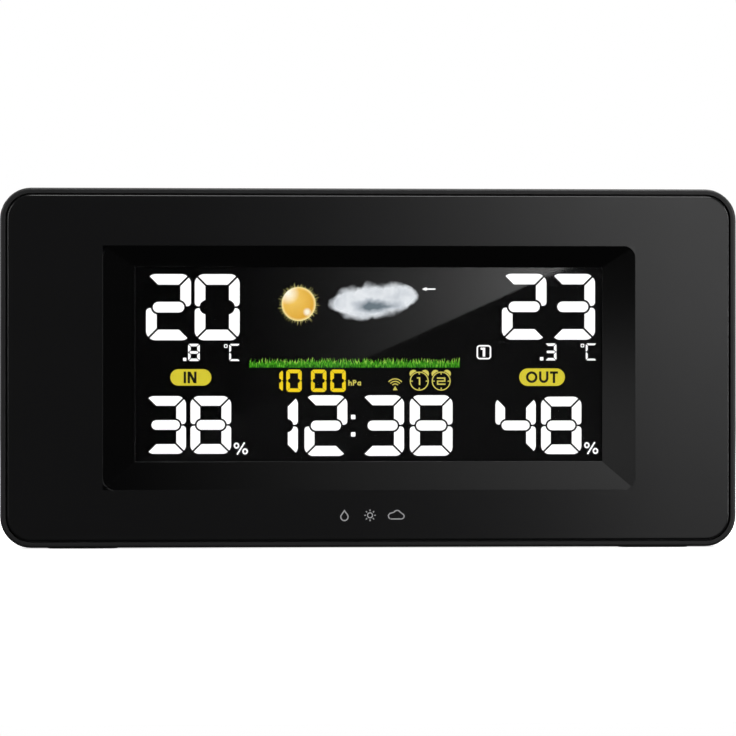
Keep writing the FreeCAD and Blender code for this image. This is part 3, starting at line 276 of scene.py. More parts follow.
LIT: dict[str, str] = {
    "0": "ABCDEF", "1": "BC", "2": "ABGED", "3": "ABGCD", "4": "FGBC", "8": "ABCDEFG",
    "C": "AFED",
}


@dataclass(frozen=True)
class FigureStyle:
    """Proportions of a seven-segment figure, in millimetres.

    The bars meet in mitred corners with thin dark gaps, the outer corners are round, and the
    middle bar is a pill whose ends bite into the upright bars.
    """

    width: float
    height: float
    bar: float
    gap: float
    corner: float
    pill_inset: float

    def bar_outline(self, segment: Segment) -> Outline:
        """Outline of one bar, with the figure's lower left corner at the origin.

        Args:
            segment: Which bar.

        Returns:
            The bar's outline.
        """
        w, h, mid = self.width, self.height, self.height / 2
        if segment is Segment.MIDDLE:
            r = self.bar / 2
            left, right = self.pill_inset + r, w - self.pill_inset - r
            return arc(left, mid, r, 90, 270, 10) + arc(right, mid, r, -90, 90, 10)
        if segment in (Segment.TOP, Segment.BOTTOM):
            flip_z = segment is Segment.BOTTOM
            return [(x, h - z if flip_z else z) for x, z in self._top_bar()]
        flip_x = segment in (Segment.TOP_RIGHT, Segment.LOW_RIGHT)
        flip_z = segment in (Segment.LOW_LEFT, Segment.LOW_RIGHT)
        return [(w - x if flip_x else x, h - z if flip_z else z) for x, z in self._side_bar()]

    def _top_bar(self) -> Outline:
        """Bar along the top edge.

        Returns:
            The bar's outline.
        """
        w, h, r, t = self.width, self.height, self.corner, self.bar
        back = self.gap * math.sqrt(0.5)
        left = [(x + back, z) for x, z in arc(r, h - r, r, 135, 90, 5)]
        right = [(x - back, z) for x, z in arc(w - r, h - r, r, 90, 45, 5)]
        return left + right + [(w - t - back, h - t), (t + back, h - t)]

    def _side_bar(self) -> Outline:
        """Upright bar in the upper left, notched for the end of the pill.

        Returns:
            The bar's outline.
        """
        h, r, t, mid = self.height, self.corner, self.bar, self.height / 2
        back = self.gap * math.sqrt(0.5)
        foot = mid + self.gap / 2
        pill_x, notch = self.pill_inset + t / 2, t / 2 + self.gap
        outer = [(x, z - back) for x, z in arc(r, h - r, r, 135, 180, 5)]
        low = arc(r * 0.45, foot + r * 0.45, r * 0.45, 180, 270, 4)
        first = 180 - math.degrees(math.asin(self.gap / 2 / notch))
        last = math.degrees(math.acos(max(-1.0, min(1.0, (t - pill_x) / notch))))
        bite = arc(pill_x, mid, notch, first, last, 8)
        return outer + low + bite + [(t, h - t - back)]

    def shapes(self, text: str, lefts: Iterable[float], bottom: float) -> list[Shape]:
        """Lit bars of a row of figures.

        Args:
            text: The figures, one character each.
            lefts: Left edge of each figure's cell.
            bottom: Lower edge of them all.

        Returns:
            One shape for each lit bar.
        """
        made = []
        for character, left in zip(text, lefts):
            for segment in Segment:
                if segment.value in LIT[character]:
                    made.append(Shape(self.bar_outline(segment)).moved(left, bottom))
        return made


# ------------------------------------------------------------------ pieces
@dataclass(frozen=True)
class Plane:
    """Where flat pieces are laid: an origin, and the directions of across and up."""

    origin: Vector
    right: Vector
    up: Vector

    @property
    def out(self) -> Vector:
        """Direction towards someone who looks at the plane."""
        return self.right.cross(self.up)

    def lifted(self, height: float) -> "Plane":
        """The same plane, moved towards its viewer by millimetres."""
        return Plane(self.origin + self.out * height * MM, self.right, self.up)


def finish_piece(name: str, mesh: bpy.types.Mesh, origin: Vector, material: Material,
                 body: str) -> bpy.types.Object:
    """Makes an object of a mesh, dresses it and lets it ride on a body.

    Args:
        name: Name of the new piece.
        mesh: Its mesh, drawn round the origin given.
        origin: Where the piece stands.
        material: Its finish.
        body: The moving body that carries it.

    Returns:
        The new object.
    """
    piece = bpy.data.objects.new(name, mesh)
    piece.location = origin
    bpy.context.scene.collection.objects.link(piece)
    mesh.materials.clear()
    mesh.materials.append(material)
    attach(piece, body)
    LOG.info("piece %s on %s: %d faces", name, body, len(mesh.polygons))
    return piece


def add_shape(bm: bmesh.types.BMesh, shape: Shape, plane: Plane, thick: float) -> None:
    """Adds one shape as a thin closed plate, from the plane towards the viewer.

    Args:
        bm: The mesh that it joins.
        shape: The shape, in millimetres in the plane.
        plane: Where it lies.
        thick: Thickness in millimetres.
    """
    def ring_of(points: Outline, lift: float) -> list[bmesh.types.BMVert]:
        """Corner points of an outline, lifted off the plane."""
        return [bm.verts.new((plane.right * x + plane.up * z + plane.out * lift) * MM)
                for x, z in points]

    low, high = ring_of(shape.outline, 0), ring_of(shape.outline, thick)
    count = len(low)
    around = [(i, (i + 1) % count) for i in range(count)]
    for i, j in around:
        bm.faces.new((low[i], low[j], high[j], high[i]))
    if shape.hole is None:
        bm.faces.new(high)
        bm.faces.new(list(reversed(low)))
        return
    hole_low, hole_high = ring_of(shape.hole, 0), ring_of(shape.hole, thick)
    for i, j in around:
        bm.faces.new((hole_high[i], hole_high[j], hole_low[j], hole_low[i]))
        bm.faces.new((high[i], high[j], hole_high[j], hole_high[i]))
        bm.faces.new((hole_low[i], hole_low[j], low[j], low[i]))


def flat_piece(name: str, shapes: Iterable[Shape], plane: Plane, thick: float,
               material: Material, body: str = CONSOLE) -> bpy.types.Object:
    """Thin printed or lit piece made of flat shapes.

    Args:
        name: Name of the new piece.
        shapes: Its shapes, in millimetres in the plane.
        plane: Where they lie.
        thick: Thickness in millimetres.
        material: Its finish.
        body: The body that carries it.

    Returns:
        The new object.
    """
    bm = bmesh.new()
    for shape in shapes:
        add_shape(bm, shape, plane, thick)
    bmesh.ops.recalc_face_normals(bm, faces=bm.faces)
    mesh = bpy.data.meshes.new(name)
    bm.to_mesh(mesh)
    bm.free()
    return finish_piece(name, mesh, plane.origin, material, body)


# ------------------------------------------------------------------ node helpers
def dress(made: Node, tree: Tree, inputs: Inputs) -> None:
    """Sets or links inputs of a shader or another node.

    Args:
        made: The node.
        tree: The tree that it stands in.
        inputs: A value, or a socket to link, for each named input.
    """
    for key, value in inputs.items():
        if isinstance(value, Socket):
            tree.links.new(value, made.inputs[key])
        else:
            made.inputs[key].default_value = value


def node(tree: Tree, kind: str, inputs: Inputs | None = None, **attributes: object) -> Node:
    """Adds a shader node.

    Args:
        tree: Where it goes.
        kind: Its type, without the leading "ShaderNode".
        inputs: A value or a linked socket for each named input.
        attributes: Settings of the node.

    Returns:
        The new node.
    """
    made = tree.nodes.new("ShaderNode" + kind)
    for key, value in attributes.items():
        setattr(made, key, value)
    dress(made, tree, inputs or {})
    return made


def calc(tree: Tree, operation: str, a: Value, b: Value = 0.0, clamp: bool = False) -> Socket:
    """Arithmetic on one or two values."""
    return node(tree, "Math", {0: a, 1: b}, operation=operation, use_clamp=clamp).outputs[0]


def plus(tree: Tree, a: Value, b: Value, clamp: bool = False) -> Socket:
    """Sum of two values."""
    return calc(tree, "ADD", a, b, clamp)


def minus(tree: Tree, a: Value, b: Value, clamp: bool = False) -> Socket:
    """Difference of two values."""
    return calc(tree, "SUBTRACT", a, b, clamp)


def times(tree: Tree, a: Value, b: Value, clamp: bool = False) -> Socket:
    """Product of two values."""
    return calc(tree, "MULTIPLY", a, b, clamp)


def blend_colors(tree: Tree, factor: Value, a: Value, b: Value) -> Socket:
    """Mixes two colours."""
    return node(tree, "Mix", {0: factor, 6: a, 7: b}, data_type="RGBA").outputs[2]


def spread(tree: Tree, value: Socket, low: float, high: float, to_low: Value,
           to_high: Value) -> Socket:
    """Maps one range of a value to another, clamped.

    Args:
        tree: Where the node goes.
        value: The value to map.
        low: Start of its range.
        high: End of its range.
        to_low: What the start becomes.
        to_high: What the end becomes.

    Returns:
        The mapped value.
    """
    inputs = {"Value": value, "From Min": low, "From Max": high,
              "To Min": to_low, "To Max": to_high}
    return node(tree, "MapRange", inputs).outputs[0]


def vector(tree: Tree, operation: str, inputs: Inputs) -> Node:
    """Arithmetic on vectors."""
    return node(tree, "VectorMath", inputs, operation=operation)


def object_place(tree: Tree) -> Socket:
    """Place on the piece, in metres."""
    return node(tree, "TexCoord").outputs["Object"]


def stretched_place(tree: Tree, scale: tuple[float, float, float]) -> Socket:
    """Place on the piece, stretched by an amount along each axis."""
    return node(tree, "Mapping", {"Vector": object_place(tree), "Scale": scale}).outputs[0]


def noise(tree: Tree, scale: Value, detail: float = 3.0, place: Socket | None = None) -> Socket:
    """Noise from 0 to 1 over the piece."""
    inputs = {"Vector": place or object_place(tree), "Scale": scale, "Detail": detail}
    return node(tree, "TexNoise", inputs).outputs[0]


def color_ramp(tree: Tree, factor: Socket, stops: tuple[tuple[float, Color], ...]) -> Socket:
    """Runs through colours.

    Args:
        tree: Where the node goes.
        factor: Place on the ramp.
        stops: Position and colour of each stop; the first two are the ramp's own ends.

    Returns:
        The colour there.
    """
    made = node(tree, "ValToRGB", {"Fac": factor})
    elements = made.color_ramp.elements
    for element, (position, color) in zip(list(elements), stops):
        element.color = rgba(color)
        element.position = position
    for position, color in stops[2:]:
        elements.new(position).color = rgba(color)
    return made.outputs[0]


def rgba(color: Color) -> tuple[float, float, float, float]:
    """Opaque colour for a socket."""
    return (*color, 1.0)


class Groups:
    """Effects that several finishes share, each one shader node group built once."""

    @staticmethod
    def _start(name: str, inputs: dict[str, tuple[str, object]],
               outputs: dict[str, str]) -> tuple[Tree, Node, Node]:
        """New group with its sockets.

        Args:
            name: The group's name.
            inputs: Socket type and default of each input.
            outputs: Socket type of each output.

        Returns:
            The group, its input node and its output node.
        """
        tree = bpy.data.node_groups.new(name, "ShaderNodeTree")
        for label, (kind, default) in inputs.items():
            socket = tree.interface.new_socket(name=label, in_out="INPUT",
                                               socket_type="NodeSocket" + kind)
            socket.default_value = default
        for label, kind in outputs.items():
            tree.interface.new_socket(name=label, in_out="OUTPUT",
                                      socket_type="NodeSocket" + kind)
        return tree, tree.nodes.new("NodeGroupInput"), tree.nodes.new("NodeGroupOutput")

    @staticmethod
    def use(tree: Tree, group: Tree, inputs: Inputs) -> Node:
        """Places a group in a material with its own values."""
        return node(tree, "Group", inputs, node_tree=group)

    @staticmethod
    @lru_cache(maxsize=None)
    def tint() -> Tree:
        """Uneven brightness of one colour: Color, Amount, Scale to Color.

        Returns:
            The group.
        """
        tree, start, end = Groups._start(
            "uneven_tint",
            {"Color": ("Color", (0.5, 0.5, 0.5, 1)), "Amount": ("Float", 0.1),
             "Scale": ("Float", 60.0)},
            {"Color": "Color"})
        cloudy = noise(tree, start.outputs["Scale"])
        swing = times(tree, minus(tree, cloudy, 0.5), start.outputs["Amount"])
        gain = plus(tree, times(tree, swing, 2.0), 1.0)
        brighter = vector(tree, "SCALE", {0: start.outputs["Color"], "Scale": gain})
        tree.links.new(brighter.outputs[0], end.inputs["Color"])
        return tree

    @staticmethod
    @lru_cache(maxsize=None)
    def moulded() -> Tree:
        """Spark-eroded mould texture: Scale, Swing to Height and Roughness change.

        Returns:
            The group.
        """
        tree, start, end = Groups._start(
            "moulded_texture", {"Scale": ("Float", 2600.0), "Swing": ("Float", 0.1)},
            {"Height": "Float", "Roughness": "Float"})
        place = object_place(tree)
        fine = noise(tree, start.outputs["Scale"], 2.0, place)
        cells = node(tree, "TexVoronoi", {"Vector": place, "Scale": start.outputs["Scale"]})
        height = plus(tree, times(tree, fine, 0.7), times(tree, cells.outputs["Distance"], 0.4))
        patchy = minus(tree, noise(tree, 45.0, 4.0, place), 0.5)
        change = times(tree, patchy, start.outputs["Swing"])
        tree.links.new(height, end.inputs["Height"])
        tree.links.new(change, end.inputs["Roughness"])
        return tree

    @staticmethod
    @lru_cache(maxsize=None)
    def edges() -> Tree:
        """Softened and rubbed edges: Radius, Rub to Mask and Normal.

        Returns:
            The group.
        """
        tree, start, end = Groups._start(
            "soft_worn_edges", {"Radius": ("Float", 0.0002), "Rub": ("Float", 0.5)},
            {"Mask": "Float", "Normal": "Vector"})
        soft = node(tree, "Bevel", {"Radius": start.outputs["Radius"]}, samples=4).outputs[0]
        flat = node(tree, "NewGeometry").outputs["Normal"]
        along = vector(tree, "DOT_PRODUCT", {0: soft, 1: flat}).outputs["Value"]
        away = minus(tree, 1.0, along)
        patchy = spread(tree, noise(tree, 420.0, 4.0), 0.42, 0.62, 0.0, 1.0)
        rub = times(tree, times(tree, away, 4.0), start.outputs["Rub"])
        tree.links.new(times(tree, rub, patchy, clamp=True), end.inputs["Mask"])
        tree.links.new(soft, end.inputs["Normal"])
        return tree

    @staticmethod
    @lru_cache(maxsize=None)
    def dust() -> Tree:
        """Fine dust that settles on upward faces: Amount, Scale to Mask.

        Returns:
            The group.
        """
        tree, start, end = Groups._start(
            "settled_dust", {"Amount": ("Float", 0.1), "Scale": ("Float", 900.0)},
            {"Mask": "Float"})
        normal = node(tree, "NewGeometry").outputs["Normal"]
        facing = node(tree, "SeparateXYZ", {0: normal}).outputs["Z"]
        upward = calc(tree, "MAXIMUM", facing, 0.0)
        specks = spread(tree, noise(tree, start.outputs["Scale"], 5.0), 0.45, 0.75, 0.15, 1.0)
        laid = times(tree, times(tree, upward, specks), start.outputs["Amount"])
        tree.links.new(laid, end.inputs["Mask"])
        return tree

    @staticmethod
    @lru_cache(maxsize=None)
    def soft_blob() -> Tree:
        """Round soft spot: Place, Centre, Size to Value, 1 in its middle and 0 outside.

        Returns:
            The group.
        """
        tree, start, end = Groups._start(
            "soft_blob",
            {"Place": ("Vector", (0, 0, 0)), "Centre": ("Vector", (0, 0, 0)),
             "Size": ("Vector", (1, 1, 1))},
            {"Value": "Float"})
        away = vector(tree, "SUBTRACT", {0: start.outputs["Place"], 1: start.outputs["Centre"]})
        scaled = vector(tree, "DIVIDE", {0: away.outputs[0], 1: start.outputs["Size"]})
        far = vector(tree, "LENGTH", {0: scaled.outputs[0]}).outputs["Value"]
        tree.links.new(minus(tree, 1.0, far, clamp=True), end.inputs["Value"])
        return tree


def uneven(tree: Tree, color: Color, amount: float, scale: float) -> Socket:
    """A colour whose brightness varies by an amount, in patches of one fineness."""
    values = {"Color": rgba(color), "Amount": amount, "Scale": scale}
    return Groups.use(tree, Groups.tint(), values).outputs["Color"]


def soft_edges(tree: Tree, radius: float, rub: float) -> Node:
    """Edges softened by a radius in millimetres and rubbed by an amount."""
    return Groups.use(tree, Groups.edges(), {"Radius": radius * MM, "Rub": rub})


def mould_marks(tree: Tree, scale: float, swing: float) -> Node:
    """Mould texture of one fineness, whose roughness swings by an amount."""
    return Groups.use(tree, Groups.moulded(), {"Scale": scale, "Swing": swing})


def relief(tree: Tree, height: Socket, strength: float, deep: float, normal: Socket) -> Socket:
    """A normal bumped by a height from 0 to 1, which stands for a depth in millimetres."""
    inputs = {"Height": height, "Strength": strength, "Distance": deep * MM, "Normal": normal}
    return node(tree, "Bump", inputs).outputs[0]


def new_material(name: str) -> tuple[Material, Tree, Node]:
    """Empty material with one Principled shader.

    Args:
        name: The material's name.

    Returns:
        The material, its tree and its shader.
    """
    material = bpy.data.materials.new(name)
    material.use_nodes = True
    tree = material.node_tree
    return material, tree, tree.nodes["Principled BSDF"]


def light_up(shader: Node, tree: Tree, color: Socket, strength: float, roughness: Value,
             gloss: float) -> None:
    """Makes a shader a nearly black ink that is lit from behind.

    Args:
        shader: The material's shader.
        tree: The material's tree.
        color: Colour of the light.
        strength: Brightness of the light.
        roughness: Roughness of the ink.
        gloss: How much it mirrors.
    """
    dress(shader, tree, {"Base Color": rgba(UNLIT), "Roughness": roughness,
                         "Specular IOR Level": gloss, "Emission Color": color,
                         "Emission Strength": strength})


# ------------------------------------------------------------------ finishes
@dataclass(frozen=True)
class Plastic:
    """Moulded plastic or rubber, with mould texture, rubbed edges and a little dust."""

    name: str
    color: Color
    roughness: float = 0.5
    grain: float = 0.0
    grain_scale: float = 2600.0
    soften: float = 0.15
    rub: float = 0.4
    dust: float = 0.06
    tint: float = 0.12
    gloss: float = 0.5

    def build(self) -> Material:
        """Makes the material.

        Returns:
            The material.
        """
        material, tree, shader = new_material(self.name)
        tint = uneven(tree, self.color, self.tint, 70.0)
        mould = mould_marks(tree, self.grain_scale, 0.12)
        edges = soft_edges(tree, self.soften, self.rub)
        dust = Groups.use(tree, Groups.dust(), {"Amount": self.dust, "Scale": 900.0})
        pale = rgba(tuple(min(1.0, c * 1.6 + 0.03) for c in self.color))
        worn = blend_colors(tree, edges.outputs["Mask"], tint, pale)
        dusty = blend_colors(tree, dust.outputs["Mask"], worn, rgba(DUST))
        rough = plus(tree, mould.outputs["Roughness"], self.roughness)
        rough = plus(tree, rough, times(tree, dust.outputs["Mask"], 0.5), clamp=True)
        bumped = relief(tree, mould.outputs["Height"], self.grain, 0.05, edges.outputs["Normal"])
        dress(shader, tree, {"Base Color": dusty, "Roughness": rough, "Normal": bumped,
                             "Specular IOR Level": self.gloss})
        return material


@dataclass(frozen=True)
class Panel:
    """Satin front panel whose sunk surround, inside a rectangle, is darker and smoother."""

    name: str
    middle: tuple[float, float]
    half: tuple[float, float]
    face: Color = (0.0098, 0.0098, 0.0102)
    surround: Color = (0.0007, 0.0007, 0.0008)
    roughness: tuple[float, float] = (0.2, 0.13)
    grain: float = 0.04

    def build(self) -> Material:
        """Makes the material.

        Returns:
            The material.
        """
        material, tree, shader = new_material(self.name)
        place = node(tree, "SeparateXYZ", {0: object_place(tree)})
        within = []
        for axis, middle, half in zip("XZ", self.middle, self.half):
            off = calc(tree, "ABSOLUTE", minus(tree, place.outputs[axis], middle))
            within.append(calc(tree, "LESS_THAN", off, half))
        inside = times(tree, *within)
        tint = uneven(tree, self.face, 0.05, 30.0)
        mould = mould_marks(tree, 3200.0, 0.03)
        edges = soft_edges(tree, 0.12, 0.0)
        color = blend_colors(tree, inside, tint, rgba(self.surround))
        satin = spread(tree, inside, 0.0, 1.0, *self.roughness)
        rough = plus(tree, satin, mould.outputs["Roughness"])
        bumped = relief(tree, mould.outputs["Height"], self.grain, 0.05, edges.outputs["Normal"])
        dress(shader, tree, {"Base Color": color, "Roughness": rough, "Normal": bumped})
        return material


@dataclass(frozen=True)
class Metal:
    """Plated or drawn metal with fine streaks along one axis."""

    name: str
    color: Color
    roughness: float = 0.3
    rubbed: Color = (0.86, 0.86, 0.88)
    streaks: tuple[float, float, float] = (300.0, 3000.0, 3000.0)
    soften: float = 0.08

    def build(self) -> Material:
        """Makes the material.

        Returns:
            The material.
        """
        material, tree, shader = new_material(self.name)
        fine = noise(tree, 1.0, 3.0, stretched_place(tree, self.streaks))
        tint = uneven(tree, self.color, 0.1, 260.0)
        edges = soft_edges(tree, self.soften, 0.3)
        worn = blend_colors(tree, edges.outputs["Mask"], tint, rgba(self.rubbed))
        rough = spread(tree, fine, 0.25, 0.75, self.roughness * 0.75, self.roughness * 1.3)
        bumped = relief(tree, fine, 0.12, 0.02, edges.outputs["Normal"])
        dress(shader, tree, {"Base Color": worn, "Roughness": rough, "Metallic": 1.0,
                             "Normal": bumped})
        return material


@dataclass(frozen=True)
class Clear:
    """Clear sheet with faint wiping marks in its gloss."""

    name: str
    color: Color = (1.0, 1.0, 1.0)
    ior: float = 1.49
    roughness: float = 0.012
    wiping: tuple[float, float, float] = (30.0, 30.0, 160.0)

    def build(self) -> Material:
        """Makes the material.

        Returns:
            The material.
        """
        material, tree, shader = new_material(self.name)
        wiped = noise(tree, 1.0, 5.0, stretched_place(tree, self.wiping))
        rough = spread(tree, wiped, 0.5, 0.8, self.roughness, self.roughness * 2.5)
        tint = uneven(tree, self.color, 0.01, 40.0)
        dress(shader, tree, {"Base Color": tint, "Roughness": rough, "IOR": self.ior,
                             "Transmission Weight": 1.0})
        return material


@dataclass(frozen=True)
class Glow:
    """Backlit ink of the display, a little uneven as the backlight is."""

    name: str
    color: Color
    strength: float = 1.15
    swing: float = 0.03

    def build(self) -> Material:
        """Makes the material.

        Returns:
            The material.
        """
        material, tree, shader = new_material(self.name)
        tint = uneven(tree, self.color, self.swing, 130.0)
        rough = spread(tree, noise(tree, 900.0), 0.3, 0.7, 0.5, 0.7)
        light_up(shader, tree, tint, self.strength, rough, 0.1)
        return material


@dataclass(frozen=True)
class SunDisc:
    """Golden ball: pale rim, deeper gold low down, and a small bright spot at its lower right."""

    name: str
    radius: float
    rim: Color = (0.97, 0.86, 0.42)
    ball: Color = (0.72, 0.37, 0.025)
    upper: Color = (0.95, 0.66, 0.15)
    deep: Color = (0.45, 0.2, 0.01)
    bright: Color = (1.0, 0.97, 0.82)
    strength: float = 1.1

    def build(self) -> Material:
        """Makes the material.

        Returns:
            The material.
        """
        material, tree, shader = new_material(self.name)
        place = object_place(tree)
        r = self.radius * MM

        def blob(x: float, z: float, size: float) -> Socket:
            """Soft spot, in parts of the ball's radius.

            Args:
                x: Middle, across.
                z: Middle, up.
                size: Radius.

            Returns:
                1 in its middle and 0 outside.
            """
            values = {"Place": place, "Centre": (x * r, 0.0, z * r),
                      "Size": (size * r, r, size * r)}
            return Groups.use(tree, Groups.soft_blob(), values).outputs["Value"]

        body = color_ramp(tree, blob(0.0, 0.0, 1.05), ((0.05, self.rim), (0.2, self.ball)))
        above = spread(tree, blob(-0.35, 0.3, 1.5), 0.1, 1.0, 0.0, 0.8)
        lit = blend_colors(tree, above, body, rgba(self.upper))
        shine = spread(tree, blob(-0.62, 0.62, 0.75), 0.1, 0.9, 0.0, 0.9)
        spot = spread(tree, blob(0.5, -0.47, 0.3), 0.1, 0.7, 0.0, 0.85)
        cloudy = spread(tree, noise(tree, 420.0, 4.0), 0.3, 0.7, 0.0, 0.14)
        deeper = blend_colors(tree, cloudy, lit, rgba(self.deep))
        glint = calc(tree, "MAXIMUM", spot, shine)
        done = blend_colors(tree, glint, deeper, rgba(self.bright))
        light_up(shader, tree, done, self.strength, 0.6, 0.1)
        return material


@dataclass(frozen=True)
class CloudMist:
    """Soft grey-white cloud that thins out to nothing round its edge."""

    name: str
    puffs: tuple[tuple[float, float, float, float], ...]
    wander: float = 2.2
    white: Color = (0.82, 0.85, 0.88)
    grey: Color = (0.52, 0.56, 0.61)
    dark: Color = (0.13, 0.17, 0.20)
    strength: float = 1.05

    def build(self) -> Material:
        """Makes the material.

        Returns:
            The material.
        """
        material, tree, shader = new_material(self.name)
        place = object_place(tree)
        wobble = node(tree, "TexNoise", {"Vector": place, "Scale": 420.0, "Detail": 5.0})
        centred = vector(tree, "SUBTRACT", {0: wobble.outputs[1], 1: (0.5, 0.5, 0.5)})
        push = vector(tree, "SCALE", {0: centred.outputs[0], "Scale": self.wander * MM})
        bent = vector(tree, "ADD", {0: place, 1: push.outputs[0]}).outputs[0]

        def blob(x: float, z: float, wide: float, tall: float) -> Socket:
            """Soft oval spot, in millimetres.

            Args:
                x: Middle, across.
                z: Middle, up.
                wide: Half of its width.
                tall: Half of its height.

            Returns:
                1 in its middle and 0 outside.
            """
            values = {"Place": bent, "Centre": (x * MM, 0.0, z * MM),
                      "Size": (wide * MM, 1.0, tall * MM)}
            return Groups.use(tree, Groups.soft_blob(), values).outputs["Value"]

        total: Value = 0.0
        for puff in self.puffs:
            total = plus(tree, total, blob(*puff))
        alpha = node(tree, "MapRange", {"Value": total, "From Min": 0.05, "From Max": 0.78},
                     interpolation_type="SMOOTHSTEP").outputs[0]
        billow = spread(tree, noise(tree, 260.0, 6.0, bent), 0.35, 0.7, 0.0, 0.3)
        hollow = times(tree, blob(-0.2, -1.3, 5.6, 2.1), 1.15)
        upper = times(tree, blob(4.6, -1.2, 5.0, 1.4), 0.45)
        shade = plus(tree, plus(tree, billow, upper), hollow)
        color = color_ramp(tree, shade, ((0.0, self.white), (1.0, self.dark), (0.4, self.grey)))
        light_up(shader, tree, color, self.strength, 0.7, 0.0)
        dress(shader, tree, {"Alpha": alpha})
        return material


@dataclass(frozen=True)
class GrassInk:
    """Green blades: dark at the root, bright and a little yellow at the tip."""

    name: str
    low: float
    high: float
    root: Color = (0.006, 0.07, 0.002)
    blade: Color = (0.045, 0.34, 0.006)
    tip: Color = (0.58, 0.86, 0.14)
    streaks: tuple[float, float, float] = (3000.0, 1.0, 900.0)

    def build(self) -> Material:
        """Makes the material.

        Returns:
            The material.
        """
        material, tree, shader = new_material(self.name)
        up = node(tree, "SeparateXYZ", {0: object_place(tree)}).outputs["Z"]
        streak = noise(tree, 1.0, 4.0, stretched_place(tree, self.streaks))
        rise = plus(tree, spread(tree, up, self.low * MM, self.high * MM, 0.0, 0.62),
                    spread(tree, streak, 0.32, 0.66, -0.32, 0.48))
        color = color_ramp(tree, rise, ((0.0, self.root), (1.0, self.tip), (0.42, self.blade)))
        light_up(shader, tree, color, 1.0, 0.7, 0.0)
        return material


@dataclass(frozen=True)
class Board:
    """Green circuit board with traces, pads and a faint glass weave."""

    name: str
    color: Color = (0.012, 0.11, 0.045)
    trace: Color = (0.03, 0.22, 0.09)
    pad: Color = (0.62, 0.56, 0.42)

    def build(self) -> Material:
        """Makes the material.

        Returns:
            The material.
        """
        material, tree, shader = new_material(self.name)
        place = object_place(tree)
        upright = {"Vector": place, "Rotation": (math.pi / 2, 0.0, 0.0)}
        turned = node(tree, "Mapping", upright).outputs[0]
        bricks = node(tree, "TexBrick", {
            "Vector": turned, "Scale": 110.0, "Mortar Size": 0.03,
            "Color1": (1, 1, 1, 1), "Color2": (1, 1, 1, 1), "Mortar": (0, 0, 0, 1)})
        trace = minus(tree, 1.0, bricks.outputs[0])
        dots = node(tree, "TexVoronoi", {"Vector": place, "Scale": 260.0}).outputs["Distance"]
        pads = spread(tree, dots, 0.1, 0.14, 1.0, 0.0)
        waves = node(tree, "TexWave", {"Vector": place, "Scale": 900.0, "Distortion": 0.6})
        weave = waves.outputs["Fac"]
        tint = uneven(tree, self.color, 0.15, 90.0)
        lit = blend_colors(tree, times(tree, trace, 0.6), tint, rgba(self.trace))
        done = blend_colors(tree, pads, lit, rgba(self.pad))
        height = plus(tree, trace, times(tree, weave, 0.2))
        bump = node(tree, "Bump", {"Height": height, "Strength": 0.4, "Distance": 0.03 * MM})
        rough = spread(tree, weave, 0.0, 1.0, 0.3, 0.42)
        dress(shader, tree, {"Base Color": done, "Roughness": rough, "Normal": bump.outputs[0]})
        return material


@dataclass(frozen=True)
class CellJacket:
    """Printed jackets of three AAA cells side by side, the middle one the other way round."""

    name: str
    left: float
    right: float
    middle: float
    pitch: float
    cap: float = 1.3
    band: float = 12.0
    jacket: Color = (0.012, 0.02, 0.05)
    copper: Color = (0.55, 0.26, 0.08)
    steel: Color = (0.7, 0.7, 0.72)

    def build(self) -> Material:
        """Makes the material.

        Returns:
            The material.
        """
        material, tree, shader = new_material(self.name)
        place = node(tree, "SeparateXYZ", {0: object_place(tree)})
        x, z = place.outputs["X"], place.outputs["Z"]
        from_right = minus(tree, self.right, x)
        from_left = minus(tree, x, self.left)
        turned = node(tree, "Math", {0: z, 1: self.middle, 2: self.pitch / 2},
                      operation="COMPARE").outputs[0]
        from_plus = node(tree, "Mix", {0: turned, 2: from_right, 3: from_left},
                         data_type="FLOAT").outputs[0]
        from_minus = minus(tree, self.right - self.left, from_plus)

        def step(value: Socket, at: float, wide: float, before: float, after: float) -> Socket:
            """Sharp change at a distance from an end, in millimetres."""
            return spread(tree, value, at * MM, (at + wide) * MM, before, after)

        band = step(from_plus, self.band, 0.15, 1.0, 0.0)
        line = times(tree, step(from_plus, self.band + 1.0, 0.1, 0.0, 1.0),
                     step(from_plus, self.band + 1.6, 0.1, 1.0, 0.0))
        bare = calc(tree, "MAXIMUM", step(from_plus, self.cap, 0.1, 1.0, 0.0),
                    step(from_minus, 0.25, 0.05, 1.0, 0.0))
        printed = blend_colors(tree, band, uneven(tree, self.jacket, 0.12, 200.0),
                               rgba(self.copper))
        lined = blend_colors(tree, line, printed, rgba(self.steel))
        done = blend_colors(tree, bare, lined, rgba(self.steel))
        metal = calc(tree, "MAXIMUM", bare, times(tree, band, 0.8))
        rough = spread(tree, noise(tree, 500.0), 0.3, 0.7, 0.22, 0.36)
        dress(shader, tree, {"Base Color": done, "Roughness": rough, "Metallic": metal})
        return material


@dataclass(frozen=True)
class Winding:
    """Enamelled copper wire laid turn by turn along the upright axis, with painted shade in the
    grooves between the turns.
    """

    name: str
    turns_per_mm: float = 3.0
    wire: Color = (0.55, 0.2, 0.06)
    # painted shade: darker copper colour standing in for the shade that falls in the grooves
    # between turns
    painted_groove_shade: Color = (0.2, 0.06, 0.02)

    def build(self) -> Material:
        """Makes the material.

        Returns:
            The material.
        """
        material, tree, shader = new_material(self.name)
        up = node(tree, "SeparateXYZ", {0: object_place(tree)}).outputs["Z"]
        phase = times(tree, up, math.pi * self.turns_per_mm / MM)
        wave = calc(tree, "ABSOLUTE", calc(tree, "SINE", phase))
        tint = uneven(tree, self.wire, 0.15, 300.0)
        # the grooves between the turns get the painted shade colour, the crowns of the turns the
        # wire's own colour
        done = blend_colors(tree, wave, rgba(self.painted_groove_shade), tint)
        bump = node(tree, "Bump", {"Height": wave, "Strength": 0.8, "Distance": 0.1 * MM})
        rough = spread(tree, wave, 0.0, 1.0, 0.5, 0.25)
        dress(shader, tree, {"Base Color": done, "Roughness": rough, "Metallic": 0.8,
                             "Normal": bump.outputs[0]})
        return material


